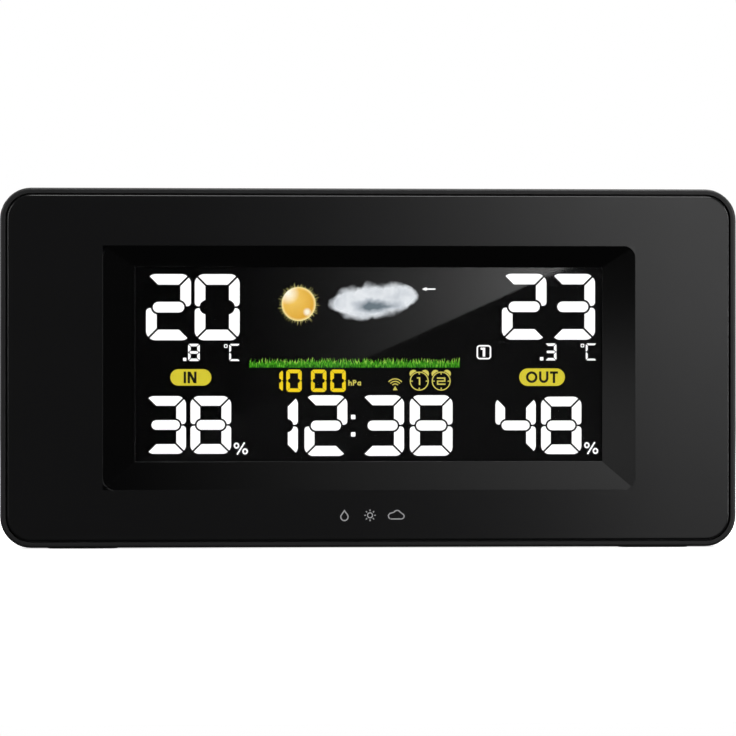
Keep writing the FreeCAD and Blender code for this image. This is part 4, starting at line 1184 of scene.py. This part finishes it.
# ------------------------------------------------------------------ the console's own nodes
@dataclass
class Console:
    """Gives each node of the solid model its finish."""

    case: Plastic = Plastic("case_plastic", (0.017, 0.017, 0.0177), roughness=0.46, grain=0.35)
    key: Plastic = Plastic("key_plastic", (0.019, 0.019, 0.02), roughness=0.52, grain=0.3,
                           soften=0.12)
    rubber: Plastic = Plastic("pad_rubber", (0.016, 0.016, 0.016), roughness=0.75, grain=0.4,
                              grain_scale=1500.0, dust=0.1)
    window_half: tuple[float, float] = (68.65, 31.4)

    def finishes(self) -> dict[str, tuple[str, ...]]:
        """Sorts the nodes by finish.

        Returns:
            Names of the nodes that wear each finish, by the name of the finish.
        """
        keys = tuple(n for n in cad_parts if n.endswith("_key"))
        stems = tuple(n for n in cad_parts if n.endswith("_switch_stem"))
        return {
            "case": ("front_case", "rear_case", "battery_door", "fold_out_foot"),
            "panel": ("fascia",),
            "key": keys,
            "rubber": ("base_pads", "foot_pad"),
            "tape": ("fascia_tape", "lens_gasket"),
            "stem": stems,
            "switch": ("switch_bodies", "buzzer", "power_jack"),
            "chip": ("main_chip", "chip_resistors"),
            "white": ("lcd_holder", "backlight_strips", "climate_sensor"),
            "film": ("diffuser_film", "reflector_film"),
            "print": ("colour_film",),
            "polariser": ("polarisers",),
            "lens": ("display_lens",),
            "guide": ("light_guide",),
            "glass": ("lcd_front_glass", "lcd_rear_glass"),
            "board": ("main_board", "receiver_board"),
            "tin": ("board_pins", "chip_leads", "contact_plates", "contact_springs",
                    "receiver_shield", "clock_crystal", "pressure_sensor", "power_jack_pin"),
            "steel": ("case_screws", "board_screws", "foot_hinge_pin"),
            "sleeve": ("capacitors",),
            "ferrite": ("ferrite_rod",),
            "copper": ("receiver_aerial",),
            "winding": ("ferrite_winding",),
            "cells": ("aaa_cells",),
            "red": ("battery_lead_plus",),
            "black": ("battery_lead_minus",),
        }

    def materials(self) -> dict[str, Material]:
        """Builds every finish of the solid model.

        Returns:
            The materials, by the name of the finish.
        """
        low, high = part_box("aaa_cells")
        pitch = (high[2] - low[2] - (high[1] - low[1])) / 2
        cells = CellJacket("cell_jacket", left=low[0], right=high[0],
                           middle=(low[2] + high[2]) / 2, pitch=pitch)
        low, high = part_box("fascia")
        panel = Panel("fascia_plastic", middle=(0.0, (low[2] + high[2]) / 2),
                      half=(self.window_half[0] * MM, self.window_half[1] * MM))
        made = {
            "case": self.case, "panel": panel, "key": self.key, "rubber": self.rubber,
            "tape": Plastic("adhesive_foam", (0.01, 0.01, 0.01), roughness=0.9, grain=0.3,
                            grain_scale=1800.0, dust=0.0),
            "stem": Plastic("stem_plastic", (0.55, 0.5, 0.4), roughness=0.45, grain=0.05),
            "switch": Plastic("switch_plastic", (0.014, 0.014, 0.015), roughness=0.42, grain=0.2),
            "chip": Plastic("chip_plastic", (0.02, 0.02, 0.021), roughness=0.6, grain=0.6,
                            grain_scale=3500.0),
            "white": Plastic("white_plastic", (0.72, 0.72, 0.7), roughness=0.45, grain=0.1,
                             dust=0.0),
            "film": Plastic("white_film", (0.82, 0.82, 0.82), roughness=0.55, grain=0.1,
                            grain_scale=4000.0, rub=0.0, dust=0.0),
            "print": Plastic("printed_film", (0.35, 0.3, 0.12), roughness=0.4, grain=0.05, rub=0.0,
                             dust=0.0, tint=0.5),
            "polariser": Plastic("polariser_film", (0.0006, 0.0006, 0.0007), roughness=0.55,
                                 grain=0.0, rub=0.0, dust=0.0, gloss=0.05),
            "lens": Clear("clear_lens"),
            "guide": Clear("clear_guide", (0.98, 1.0, 0.99)),
            "glass": Clear("thin_glass", (0.9, 0.96, 0.94), ior=1.52),
            "board": Board("circuit_board"),
            "tin": Metal("tinned_metal", (0.72, 0.71, 0.68), roughness=0.28),
            "steel": Metal("screw_steel", (0.10, 0.10, 0.11), roughness=0.38),
            "sleeve": Plastic("capacitor_sleeve", (0.015, 0.02, 0.06), roughness=0.3, grain=0.02),
            "ferrite": Plastic("ferrite", (0.035, 0.035, 0.038), roughness=0.55, grain=0.6,
                               grain_scale=1600.0),
            "copper": Metal("copper_wire", (0.72, 0.33, 0.16), roughness=0.3),
            "winding": Winding("wound_copper"),
            "cells": cells,
            "red": Plastic("red_wire", (0.45, 0.012, 0.01), roughness=0.4, grain=0.02, dust=0.0),
            "black": Plastic("black_wire", (0.012, 0.012, 0.012), roughness=0.4, grain=0.02,
                             dust=0.0),
        }
        return {name: finish.build() for name, finish in made.items()}

    def build(self) -> None:
        """Dresses every node."""
        materials = self.materials()
        dressed = set()
        for finish, names in self.finishes().items():
            for name in names:
                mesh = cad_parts[name].data
                mesh.materials.clear()
                mesh.materials.append(materials[finish])
                dressed.add(name)
                LOG.info("node %s: %s", name, finish)
        left = sorted(set(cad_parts) - dressed)
        if left:
            raise ValueError(f"nodes without a finish: {left}")


# ------------------------------------------------------------------ what the display shows
@dataclass
class DisplayPicture:
    """Figures, labels and pictures of the display, as thin lit pieces behind the lens.

    Places are in millimetres from the middle of the display. Sizes follow the three columns:
    indoor on the left, clock and forecast in the middle, outdoor on the right. A piece stands
    clear of the film behind it, and one that covers another lies a little above it.
    """

    thick: float = 0.04
    clear: float = 0.03
    above: float = 0.02
    temperature: FigureStyle = FigureStyle(width=11.6, height=17.1, bar=2.75, gap=0.5, corner=2.0,
                                           pill_inset=1.75)
    humidity: FigureStyle = FigureStyle(width=10.5, height=14.9, bar=2.5, gap=0.46, corner=1.8,
                                        pill_inset=1.6)
    clock: FigureStyle = FigureStyle(width=11.1, height=15.7, bar=2.6, gap=0.46, corner=1.9,
                                     pill_inset=1.65)
    pressure: FigureStyle = FigureStyle(width=4.0, height=5.8, bar=0.95, gap=0.07, corner=0.8,
                                        pill_inset=0.5)
    tenths: FigureStyle = FigureStyle(width=3.0, height=4.45, bar=0.66, gap=0.2, corner=0.35,
                                      pill_inset=0.42)
    unit: FigureStyle = FigureStyle(width=2.9, height=4.45, bar=0.5, gap=0.2, corner=0.3,
                                    pill_inset=0.4)
    label: Letters = Letters(height=3.0, bar=0.62)
    percent: Letters = Letters(height=3.1, bar=0.42)
    small_label: Letters = Letters(height=1.45, bar=0.3)
    sun_radius: float = 4.4
    sun_at: Point = (-18.25, 15.6)
    ray_count: int = 72
    ray_seed: int = 5
    cloud_at: Point = (1.0, 16.4)
    grass_from: float = -31.0
    grass_to: float = 23.5
    grass_base: float = -0.85
    grass_root: float = 0.3
    blade_count: int = 300
    grass_seed: int = 11
    white: Glow = Glow("lit_white", (1.0, 1.0, 1.0), strength=1.2)
    pill_yellow: Glow = Glow("lit_pill_yellow", (0.64, 0.55, 0.03), strength=1.1)
    gold: Glow = Glow("lit_gold", (0.83, 0.61, 0.006), strength=1.1)
    dull_gold: Glow = Glow("lit_dull_gold", (0.66, 0.59, 0.11), strength=1.05)
    dark: Glow = Glow("unlit_ink", (0.002, 0.002, 0.001), strength=0.4)
    plane: Plane = field(init=False)

    def __post_init__(self) -> None:
        """Finds the gap between the lens and the glass."""
        low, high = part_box("display_lens")
        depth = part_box("polarisers")[0][1] - self.clear * MM
        middle = Vector(((low[0] + high[0]) / 2, depth, (low[2] + high[2]) / 2))
        self.plane = Plane(middle, Vector((1, 0, 0)), Vector((0, 0, 1)))

    def add(self, name: str, shapes: Iterable[Shape], ink: Material, lift: float = 0.0) -> None:
        """One lit piece, lifted towards the viewer by millimetres."""
        flat_piece(name, shapes, self.plane.lifted(lift), self.thick, ink)

    def spot(self, place: Point) -> Plane:
        """The display's plane, with its origin moved to a place on it."""
        shift = Vector((place[0], 0, place[1])) * MM
        return Plane(self.plane.origin + shift, self.plane.right, self.plane.up)

    def readings(self, ink: Material) -> None:
        """The large white figures.

        Args:
            ink: Their finish.
        """
        for name, style, text, lefts, bottom in (
                ("indoor_temperature", self.temperature, "20", (-57.65, -45.1), 6.2),
                ("outdoor_temperature", self.temperature, "23", (34.5, 47.15), 6.4),
                ("indoor_humidity", self.humidity, "38", (-57.85, -46.2), -23.1),
                ("outdoor_humidity", self.humidity, "48", (32.8, 44.7), -23.3)):
            self.add(name, style.shapes(text, lefts, bottom), ink)
        clock = self.clock.shapes("1238", (-29.55, -16.75, -2.05, 10.55), -23.7)
        self.add("clock_time", clock, ink)
        dots = [Shape(rounded_box(-4.7, z, -3.55, z + 1.15, 0.2)) for z in (-14.2, -18.7)]
        self.add("clock_colon", dots, ink)

    def small_figures(self, ink: Material) -> None:
        """Tenths of a degree, the degree signs and the percent signs.

        Args:
            ink: Their finish.
        """
        for name, figure, left, point in (
                ("indoor_tenths", "8", -46.8, (-48.1, 0.85, -47.25, 1.7)),
                ("outdoor_tenths", "3", 45.7, (44.4, 1.0, 45.3, 1.9))):
            shapes = self.tenths.shapes(figure, (left,), point[1])
            self.add(name, shapes + [Shape(rounded_box(*point, 0.15))], ink)
        for place, x, z in (("indoor", -36.2, 0.85), ("outdoor", 56.35, 1.0)):
            degree = frame_shape(x - 1.35, z + 3.4, x - 0.4, z + 4.35, 0.3, 0.23)
            self.add(f"{place}_degrees", self.unit.shapes("C", (x,), z) + [degree], ink)
        for place, x in (("indoor", -35.05), ("outdoor", 55.9)):
            self.add(f"{place}_percent", self.percent.draw("%", x, -23.3, 3.7), ink)

    def channel_mark(self, ink: Material) -> None:
        """Boxed channel number beside the outdoor reading.

        Args:
            ink: Its finish.
        """
        one = Shape([(28.95, 4.35), (30.15, 4.35), (30.15, 2.0), (29.5, 2.0), (29.5, 3.8),
                     (28.95, 3.8)])
        self.add("channel_mark", [frame_shape(27.9, 1.3, 31.7, 5.0, 0.85, 0.38), one], ink)

    def pills(self, yellow: Material, dark: Material) -> None:
        """Yellow labels that name the two sides.

        Args:
            yellow: Finish of the labels.
            dark: Finish of their letters.
        """
        for name, word, x0, x1, z0, z1, left, widths in (
                ("indoor", "IN", -51.4, -40.8, -5.5, -1.25, -47.95, (0.62, 2.3)),
                ("outdoor", "OUT", 39.0, 50.9, -5.6, -1.05, 40.75, (3.0, 2.45, 2.1))):
            pill = Shape(rounded_box(x0, z0, x1, z1, (z1 - z0) / 2 - 0.01, 10))
            self.add(f"{name}_label", [pill], yellow)
            bottom = (z0 + z1) / 2 - self.label.height / 2
            letters = self.label.word(word, left, bottom, widths, 0.4)
            self.add(f"{name}_label_text", letters, dark, self.thick + self.above)

    def pressure_row(self, gold: Material, dull: Material) -> None:
        """Air pressure, the radio mark and the two alarm marks.

        Args:
            gold: Finish of the pressure reading.
            dull: Finish of the rest.
        """
        reading = self.pressure.shapes("1000", (-26.3, -21.45, -15.05, -10.05), -7.15)
        self.add("pressure_reading", reading, gold)
        unit = self.small_label.word("hPa", -5.4, -5.5, (0.95, 0.95, 0.95), 0.22)
        self.add("pressure_unit", unit, dull)
        mast = [Shape([(6.15, -6.7), (7.35, -6.7), (6.75, -5.6)])]
        mast += [Shape(band(6.75, -6.0, r, r + 0.27, 40, 140)) for r in (0.8, 1.45, 2.1)]
        self.add("signal_mark", mast, dull)
        for i, x in enumerate((13.0, 18.7)):
            self.add(f"alarm_mark_{i + 1}", self.alarm_clock(x, -4.35, i + 1), dull)

    def alarm_clock(self, x: float, z: float, number: int) -> list[Shape]:
        """Clock face with two bells on top and a number in it.

        Args:
            x: Middle, across.
            z: Middle, up.
            number: 1 or 2.

        Returns:
            Its shapes.
        """
        shapes = [ring(x, z, 2.2, 2.46)]
        for side in (-1, 1):
            dome = arc(-1.5, 1.9, 1.02, 215, 20, 12) + arc(0.0, 0.0, 2.62, 106, 150, 6)
            shapes.append(Shape([(x - side * a, z + b) for a, b in dome]))
        for turn in range(4):
            c, s = math.cos(turn * math.pi / 2), math.sin(turn * math.pi / 2)
            inner, outer = ((x + r * c, z + r * s) for r in (1.7, 2.15))
            shapes.append(Shape(stroke(inner, outer, 0.3)))
        if number == 1:
            return shapes + [Shape(box(x - 0.1, z - 1.0, x + 0.27, z + 1.0)),
                             Shape(box(x - 0.6, z + 0.66, x - 0.1, z + 1.0))]
        bars = ((-1.1, 0.62, 1.1, 0.95), (0.75, 0.16, 1.1, 0.62), (-1.1, -0.16, 1.1, 0.16),
                (-1.1, -0.62, -0.75, -0.16), (-1.1, -0.95, 1.1, -0.62))
        return shapes + [Shape(box(x + a, z + b, x + c, z + d)) for a, b, c, d in bars]

    def sun(self) -> None:
        """Sun of the forecast: a ball, and a fringe of fine rays of uneven length."""
        spot = self.spot(self.sun_at)
        r = self.sun_radius
        disc = SunDisc("sun_gold", r).build()
        flat_piece("forecast_sun", [Shape(arc(0, 0, r, 0, 354, 59))],
                   spot.lifted(self.thick + self.above), self.thick, disc)
        draw = random.Random(self.ray_seed)
        root, wide = r - 0.2, 0.12
        rays = []
        for i in range(self.ray_count):
            turn = math.radians(i * 360 / self.ray_count + draw.uniform(-2.0, 2.0))
            long = r + draw.choice((0.45, 0.7, 0.95, 1.35))
            c, s = math.cos(turn), math.sin(turn)
            rays.append(Shape([(root * c + wide * s, root * s - wide * c), (long * c, long * s),
                               (root * c - wide * s, root * s + wide * c)]))
        shine = Glow("sun_rays", (0.50, 0.45, 0.14), strength=1.0, swing=0.3).build()
        flat_piece("forecast_sun_rays", rays, spot, self.thick, shine)

    def cloud(self) -> None:
        """Soft cloud of the forecast."""
        puffs = ((-8.2, -0.7, 3.8, 2.7), (-5.3, 0.5, 5.4, 3.9), (-0.9, 1.9, 3.8, 3.4),
                 (-3.4, -1.8, 7.0, 3.8), (0.8, -0.6, 8.8, 4.3), (5.4, 1.3, 6.6, 4.3),
                 (8.6, 1.6, 3.6, 2.9))
        sheet = Shape(ellipse(0.0, 0.0, 12.8, 5.9, 48))
        flat_piece("forecast_cloud", [sheet], self.spot(self.cloud_at), self.thick,
                   CloudMist("cloud_mist", puffs).build())

    def trend_arrow(self, ink: Material) -> None:
        """Small arrow beside the forecast."""
        self.add("trend_arrow", [Shape([(13.7, 19.5), (14.9, 18.97), (14.9, 20.03)]),
                                 Shape(box(14.8, 19.33, 17.2, 19.67))], ink)

    def grass(self) -> None:
        """Strip of grass under the forecast, one pointed blade beside another."""
        draw = random.Random(self.grass_seed)
        base, root = self.grass_base, self.grass_root
        shapes = [Shape(box(self.grass_from, base, self.grass_to, root))]
        pitch = (self.grass_to - self.grass_from) / self.blade_count
        for i in range(self.blade_count):
            x = self.grass_from + pitch * (i + draw.uniform(0.0, 1.0))
            tall = draw.choice((0.35, 0.6, 0.8, 1.0, 1.25))
            lean = draw.uniform(-0.4, 0.4)
            x = min(max(x, self.grass_from + 0.2), self.grass_to - 0.2)
            wide = draw.uniform(0.13, 0.22)
            lift = root + draw.uniform(-0.5, 0.1)
            middle = (x + lean * 0.35, lift + tall * 0.55)
            shapes.append(Shape([(x - wide, lift), (x + wide, lift),
                                 (middle[0] + wide * 0.6, middle[1]),
                                 (x + lean, lift + tall + 0.3),
                                 (middle[0] - wide * 0.6, middle[1])]))
        self.add("forecast_grass", shapes, GrassInk("grass_green", base, 1.7).build())

    def build(self) -> None:
        """Makes every piece of the display."""
        white, gold, dull = self.white.build(), self.gold.build(), self.dull_gold.build()
        self.readings(white)
        self.small_figures(white)
        self.channel_mark(white)
        self.trend_arrow(white)
        self.pills(self.pill_yellow.build(), self.dark.build())
        self.pressure_row(gold, dull)
        self.sun()
        self.cloud()
        self.grass()


# ------------------------------------------------------------------ printed marks on the case
@dataclass
class CaseMarks:
    """Plain printed symbols: under the display, by the rear keys and the inlet, and on top."""

    thick: float = 0.03
    ink: Plastic = Plastic("grey_print", (0.62, 0.62, 0.63), roughness=0.5, grain=0.05, soften=0.01,
                           rub=0.0, dust=0.0)
    below_middle: float = 38.0
    key_drop: float = 9.5
    inlet_rise: float = 8.5
    crescent_left: float = 12.0
    dish: float = 0.2

    def front_mark(self, ink: Material) -> None:
        """Three small outline symbols, a drop, a sun and a cloud, below the display.

        Args:
            ink: Their finish.
        """
        low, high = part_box("fascia")
        middle = Vector((0.0, low[1], (low[2] + high[2]) / 2 - self.below_middle * MM))
        plane = Plane(middle, Vector((1, 0, 0)), Vector((0, 0, 1)))
        drop_out = arc(-6.6, -0.4, 1.1, 150, 390, 20) + [(-6.6, 1.5)]
        drop_in = arc(-6.6, -0.4, 0.78, 150, 390, 20) + [(-6.6, 0.95)]
        rays = []
        for i in range(8):
            c, s = math.cos(math.tau * i / 8), math.sin(math.tau * i / 8)
            rays.append(Shape(stroke((1.05 * c, 1.05 * s), (1.5 * c, 1.5 * s), 0.28)))

        def cloud(shrink: float) -> Outline:
            """Outline of the cloud.

            Args:
                shrink: How far inside its outer edge.

            Returns:
                The points in order.
            """
            flat = -1.1 + shrink
            return ([(5.2, flat), (8.1, flat)] + arc(8.1, -0.25, 0.85 - shrink, -90, 70, 8)
                    + arc(7.0, 0.35, 1.05 - shrink, 30, 150, 8)
                    + arc(5.5, -0.2, 0.9 - shrink, 110, 260, 8))

        shapes = [Shape(drop_out, drop_in), ring(0, 0, 0.5, 0.8, 24), *rays,
                  Shape(cloud(0.0), cloud(0.3))]
        flat_piece("front_symbols", shapes, plane, self.thick, ink)

    def key_symbols(self) -> dict[str, list[Shape]]:
        """Draws the symbol of each rear key about its own middle.

        Returns:
            The shapes, by the name of the key.
        """
        teeth = []
        for i in range(16):
            radius = 1.75 if i % 2 == 0 else 1.35
            teeth += arc(0, 0, radius, i * 22.5 - 8, i * 22.5 + 8, 1)
        bell = arc(0, 0.5, 1.15, 0, 180, 10) + [(-1.25, -0.7), (-1.8, -1.1), (1.8, -1.1),
                                                (1.25, -0.7)]
        return {
            "set": [Shape(teeth, arc(0, 0, 0.65, -8, 352 - 360 / 32, 31))],
            "up": [Shape([(-1.7, -0.9), (1.7, -0.9), (0, 1.5)])],
            "down": [Shape([(-1.7, 0.9), (0, -1.5), (1.7, 0.9)])],
            "alarm": [Shape(bell), Shape(arc(0, -1.2, 0.5, 180, 360, 8))],
            "channel": [Shape(band(0, -1.3, r, r + 0.35, 45, 135)) for r in (0.9, 1.7, 2.5)]
            + [Shape(arc(0, -1.1, 0.4, 0, 330, 11))],
            "memory": [Shape(rounded_box(-1.6, z, 1.6, z + 0.6, 0.15)) for z in (-1.4, -0.3, 0.8)],
        }

    @staticmethod
    def on_back(low: Vector, high: Vector, back: float, rise: float) -> Plane:
        """Plane on the outside of the back, a rise in millimetres above the middle of a box."""
        spot = Vector(((low[0] + high[0]) / 2, back, (low[2] + high[2]) / 2 + rise * MM))
        return Plane(spot, Vector((-1, 0, 0)), Vector((0, 0, 1)))

    def rear_marks(self, ink: Material) -> None:
        """Symbols under the keys and above the power inlet.

        Args:
            ink: Their finish.
        """
        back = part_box("rear_case")[1][1]
        for name, shapes in self.key_symbols().items():
            low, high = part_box(f"{name}_key")
            flat_piece(f"{name}_symbol", shapes, self.on_back(low, high, back, -self.key_drop),
                       self.thick, ink)
        low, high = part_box("power_jack")
        centre_plus = [ring(0, 0, 0.75, 1.0, 24), Shape(arc(0, 0, 0.35, 0, 330, 11)),
                       Shape(box(-2.6, -0.12, -1.0, 0.12)), Shape(box(0.35, -0.12, 2.6, 0.12)),
                       Shape(box(-4.3, -0.15, -3.1, 0.15)), Shape(box(3.1, -0.15, 4.3, 0.15)),
                       Shape(box(3.55, -0.6, 3.85, 0.6))]
        flat_piece("inlet_symbol", centre_plus, self.on_back(low, high, back, self.inlet_rise),
                   self.thick, ink)

    def top_mark(self, ink: Material) -> None:
        """Crescent on the snooze key.

        Args:
            ink: Its finish.
        """
        low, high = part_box("snooze_key")
        spot = Vector((-self.crescent_left * MM, (low[1] + high[1]) / 2, high[2] - self.dish * MM))
        crescent = arc(0, 0, 1.7, 60, 300, 20) + arc(1.1, 0, 1.49, 254, 106, 16)
        flat_piece("snooze_symbol", [Shape(crescent)],
                   Plane(spot, Vector((1, 0, 0)), Vector((0, 1, 0))), self.thick, ink,
                   "snooze")

    def build(self) -> None:
        """Makes every printed mark."""
        ink = self.ink.build()
        self.front_mark(ink)
        self.rear_marks(ink)
        self.top_mark(ink)


# ------------------------------------------------------------------ behind the side vents
@dataclass
class VentFilter:
    """Thin foam filter stuck inside the left wall, behind the side vents."""

    from_back: float = 9.0
    height: float = 45.8
    half_deep: float = 3.8
    half_tall: float = 23.4
    corner: float = 1.5
    thick: float = 0.6
    wall: float = 2.0
    foam: Plastic = Plastic("filter_foam", (0.008, 0.008, 0.008), roughness=0.95, grain=0.8,
                            grain_scale=1400.0, rub=0.0, dust=0.0)

    def build(self) -> None:
        """Makes the filter."""
        low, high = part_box("rear_case")
        spot = Vector((low[0] + (self.wall + self.thick) * MM, high[1] - self.from_back * MM,
                       self.height * MM))
        sheet = Shape(rounded_box(-self.half_deep, -self.half_tall, self.half_deep,
                                  self.half_tall, self.corner))
        flat_piece("vent_filter", [sheet], Plane(spot, Vector((0, -1, 0)), Vector((0, 0, 1))),
                   self.thick, self.foam.build())


# ------------------------------------------------------------------ studio
@dataclass(frozen=True)
class Softbox:
    """Soft rectangular light that looks at a point."""

    name: str
    place: tuple[float, float, float]
    target: tuple[float, float, float]
    width: float
    height: float
    power: float

    def build(self) -> None:
        """Adds the light."""
        data = bpy.data.lights.new(self.name, "AREA")
        data.shape = "RECTANGLE"
        data.size, data.size_y = self.width, self.height
        data.energy = self.power
        light = bpy.data.objects.new(self.name, data)
        light.location = self.place
        aim = Vector(self.target) - Vector(self.place)
        light.rotation_euler = aim.to_track_quat("-Z", "Y").to_euler()
        light.visible_camera = False
        bpy.context.scene.collection.objects.link(light)


@dataclass(frozen=True)
class GradedCard:
    """Upright glowing card that only reflections show, brighter towards its right."""

    name: str
    corners: tuple[Point, ...]
    faces: tuple[tuple[int, ...], ...]
    place: tuple[float, float, float]
    fade: tuple[float, float]
    peak: float
    power: float
    low_fade: tuple[float, float] = (-1.0, -0.9)
    low_part: float = 0.32
    cap: float = 10.0

    def glow(self) -> Material:
        """Makes the graded light of the card.

        Returns:
            The material.
        """
        material = bpy.data.materials.new(self.name)
        material.use_nodes = True
        tree = material.node_tree
        tree.nodes.clear()
        spot = node(tree, "SeparateXYZ", {0: object_place(tree)})
        ramp = spread(tree, spot.outputs["X"], *self.fade, 0.0, 1.0)
        lower = spread(tree, spot.outputs["Z"], *self.low_fade, self.low_part, 1.0)
        rising = times(tree, calc(tree, "POWER", ramp, self.power), self.peak)
        strength = times(tree, calc(tree, "MINIMUM", rising, self.cap), lower)
        light = node(tree, "Emission", {"Color": rgba(WHITE), "Strength": strength})
        node(tree, "OutputMaterial", {"Surface": light.outputs[0]})
        return material

    def build(self) -> None:
        """Adds the card."""
        mesh = bpy.data.meshes.new(self.name)
        mesh.from_pydata([(x, 0.0, z) for x, z in self.corners], [], self.faces)
        mesh.materials.append(self.glow())
        card = bpy.data.objects.new(self.name, mesh)
        card.location = self.place
        bpy.context.scene.collection.objects.link(card)
        card.visible_camera = False
        card.visible_diffuse = False
        card.visible_shadow = False


@dataclass
class Studio:
    """Camera, floor, white surround, and the lights and cards mirrored in the front."""

    distance: float = 0.9
    azimuth: float = -3.0
    across: float = 0.1897
    aim_left: float = 0.0005
    sensor: float = 36.0
    nearest: float = 0.01
    eye_height: float = 0.0465
    card_gap: float = 0.045
    card_left: float = -0.10
    card_step: float = 0.18
    card_right: float = 0.32
    card_top: float = 0.26
    card_low: float = -0.30
    edge_rise: float = 0.45
    edge_turn: Point = (0.049, 0.0055)
    sill_place: tuple[float, float, float] = (0.0, -0.22, 0.18)
    sill_from: float = -0.11
    sill_to: float = 0.17
    sill_half: float = 0.03
    floor_front: float = -0.47
    floor_reach: float = 2.2
    floor_glow: float = 0.75
    dim_surround: float = 0.03
    lights: tuple[Softbox, ...] = (
        Softbox("overhead", place=(0.1, -0.02, 0.75), target=(0.0, 0.0, 0.0),
                width=0.9, height=0.5, power=6.0),
        Softbox("left_side", place=(-0.40, -0.91, 0.005), target=(0.06, 0.0, 0.04),
                width=0.2, height=0.1, power=0.036),
        Softbox("left_strip", place=(-0.6, -0.4, 0.25), target=(-0.09, 0.0, 0.05),
                width=0.2, height=0.4, power=1.3),
        Softbox("right_strip", place=(0.65, -0.45, 0.15), target=(0.09, 0.0, 0.05),
                width=0.2, height=0.5, power=2.6),
        Softbox("rear_left", place=(-0.7, 0.8, 0.55), target=(0.0, 0.0, 0.04),
                width=0.5, height=0.5, power=9.0),
        Softbox("rear_right", place=(0.8, 0.7, 0.8), target=(0.0, 0.0, 0.04),
                width=0.5, height=0.5, power=9.0),
    )

    def camera(self) -> None:
        """Adds the camera, level with the middle of the console and a little to its left."""
        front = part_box("front_case")[0][1]
        turn = math.radians(self.azimuth)
        target = Vector((-self.aim_left, front, self.eye_height))
        away = Vector((math.sin(turn), -math.cos(turn), 0.0))
        data = bpy.data.cameras.new("camera")
        data.sensor_width = self.sensor
        data.lens = self.sensor * self.distance / self.across
        data.clip_start = self.nearest
        eye = bpy.data.objects.new("camera", data)
        eye.location = target + away * self.distance
        eye.rotation_euler = (-away).to_track_quat("-Z", "Y").to_euler()
        bpy.context.scene.collection.objects.link(eye)
        bpy.context.scene.camera = eye

    def cards(self) -> None:
        """Cards mirrored in the front.

        The main one stands behind the camera. Its lower edge is a rising diagonal as far as the
        lens mirrors it, and further right it goes on below, less bright. The small one stands
        above the line of sight and shows only in the lower flank of the window.
        """
        turn_x, turn_z = self.edge_turn
        left_edge, step_edge = (turn_z + self.edge_rise * (x - turn_x)
                                for x in (self.card_left, self.card_step))
        corners = ((self.card_left, left_edge), (self.card_step, step_edge),
                   (self.card_step, self.card_low), (self.card_right, self.card_low),
                   (self.card_right, self.card_top), (self.card_step, self.card_top),
                   (self.card_left, self.card_top))
        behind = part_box("front_case")[0][1] - self.distance - self.card_gap
        GradedCard("mirror_card", corners, faces=((0, 1, 5, 6), (2, 3, 4, 5, 1)),
                   place=(0.0, behind, self.eye_height), fade=(-0.078, 0.22), peak=3.25,
                   power=3.4, low_fade=(-0.10, 0.04), cap=1.8).build()
        sill = box(self.sill_from, -self.sill_half, self.sill_to, self.sill_half)
        GradedCard("sill_card", tuple(sill), faces=((0, 1, 2, 3),), place=self.sill_place,
                   fade=(-0.11, 0.16), peak=1.7, power=2.0).build()

    def floor(self) -> None:
        """Pale floor, lit from itself so that only soft shadows show on it."""
        mesh = bpy.data.meshes.new("floor")
        corners = box(-self.floor_reach, self.floor_front, self.floor_reach, self.floor_reach)
        mesh.from_pydata([(x, y, 0.0) for x, y in corners], [], [(0, 1, 2, 3)])
        floor = bpy.data.objects.new("floor", mesh)
        bpy.context.scene.collection.objects.link(floor)
        material, tree, shader = new_material("pale_floor")
        cloudy = spread(tree, noise(tree, 6.0), 0.3, 0.7, 0.88, 0.92)
        color = node(tree, "CombineColor", {0: cloudy, 1: cloudy, 2: cloudy}).outputs[0]
        dress(shader, tree, {"Base Color": color, "Roughness": 0.9, "Specular IOR Level": 0.0,
                             "Emission Color": rgba(WHITE), "Emission Strength": self.floor_glow})
        mesh.materials.append(material)
        floor.visible_glossy = False
        floor.visible_diffuse = False
        floor.visible_shadow = False

    def surround(self) -> None:
        """White background for the eye, and a dim grey one for everything else."""
        world = bpy.data.worlds.new("surround")
        world.use_nodes = True
        tree = world.node_tree
        tree.nodes.clear()
        seen = node(tree, "LightPath").outputs["Is Camera Ray"]
        dim, white = (node(tree, "Background", {"Color": rgba(WHITE), "Strength": strength})
                      for strength in (self.dim_surround, 1.0))
        mix = node(tree, "MixShader", {0: seen, 1: dim.outputs[0], 2: white.outputs[0]})
        node(tree, "OutputWorld", {"Surface": mix.outputs[0]})
        bpy.context.scene.world = world

    def build(self) -> None:
        """Makes the studio."""
        bpy.context.scene.view_settings.view_transform = "Standard"
        self.camera()
        self.surround()
        self.floor()
        self.cards()
        for light in self.lights:
            light.build()


def main() -> None:
    """Builds the looks, the display's picture, the printed marks, the filter and the studio."""
    logging.basicConfig(level=logging.INFO, format="%(message)s")
    for assembly in (Console(), DisplayPicture(), CaseMarks(), VentFilter(), Studio()):
        LOG.info("building %s", type(assembly).__name__)
        assembly.build()


if __name__ == "__main__":
    main()
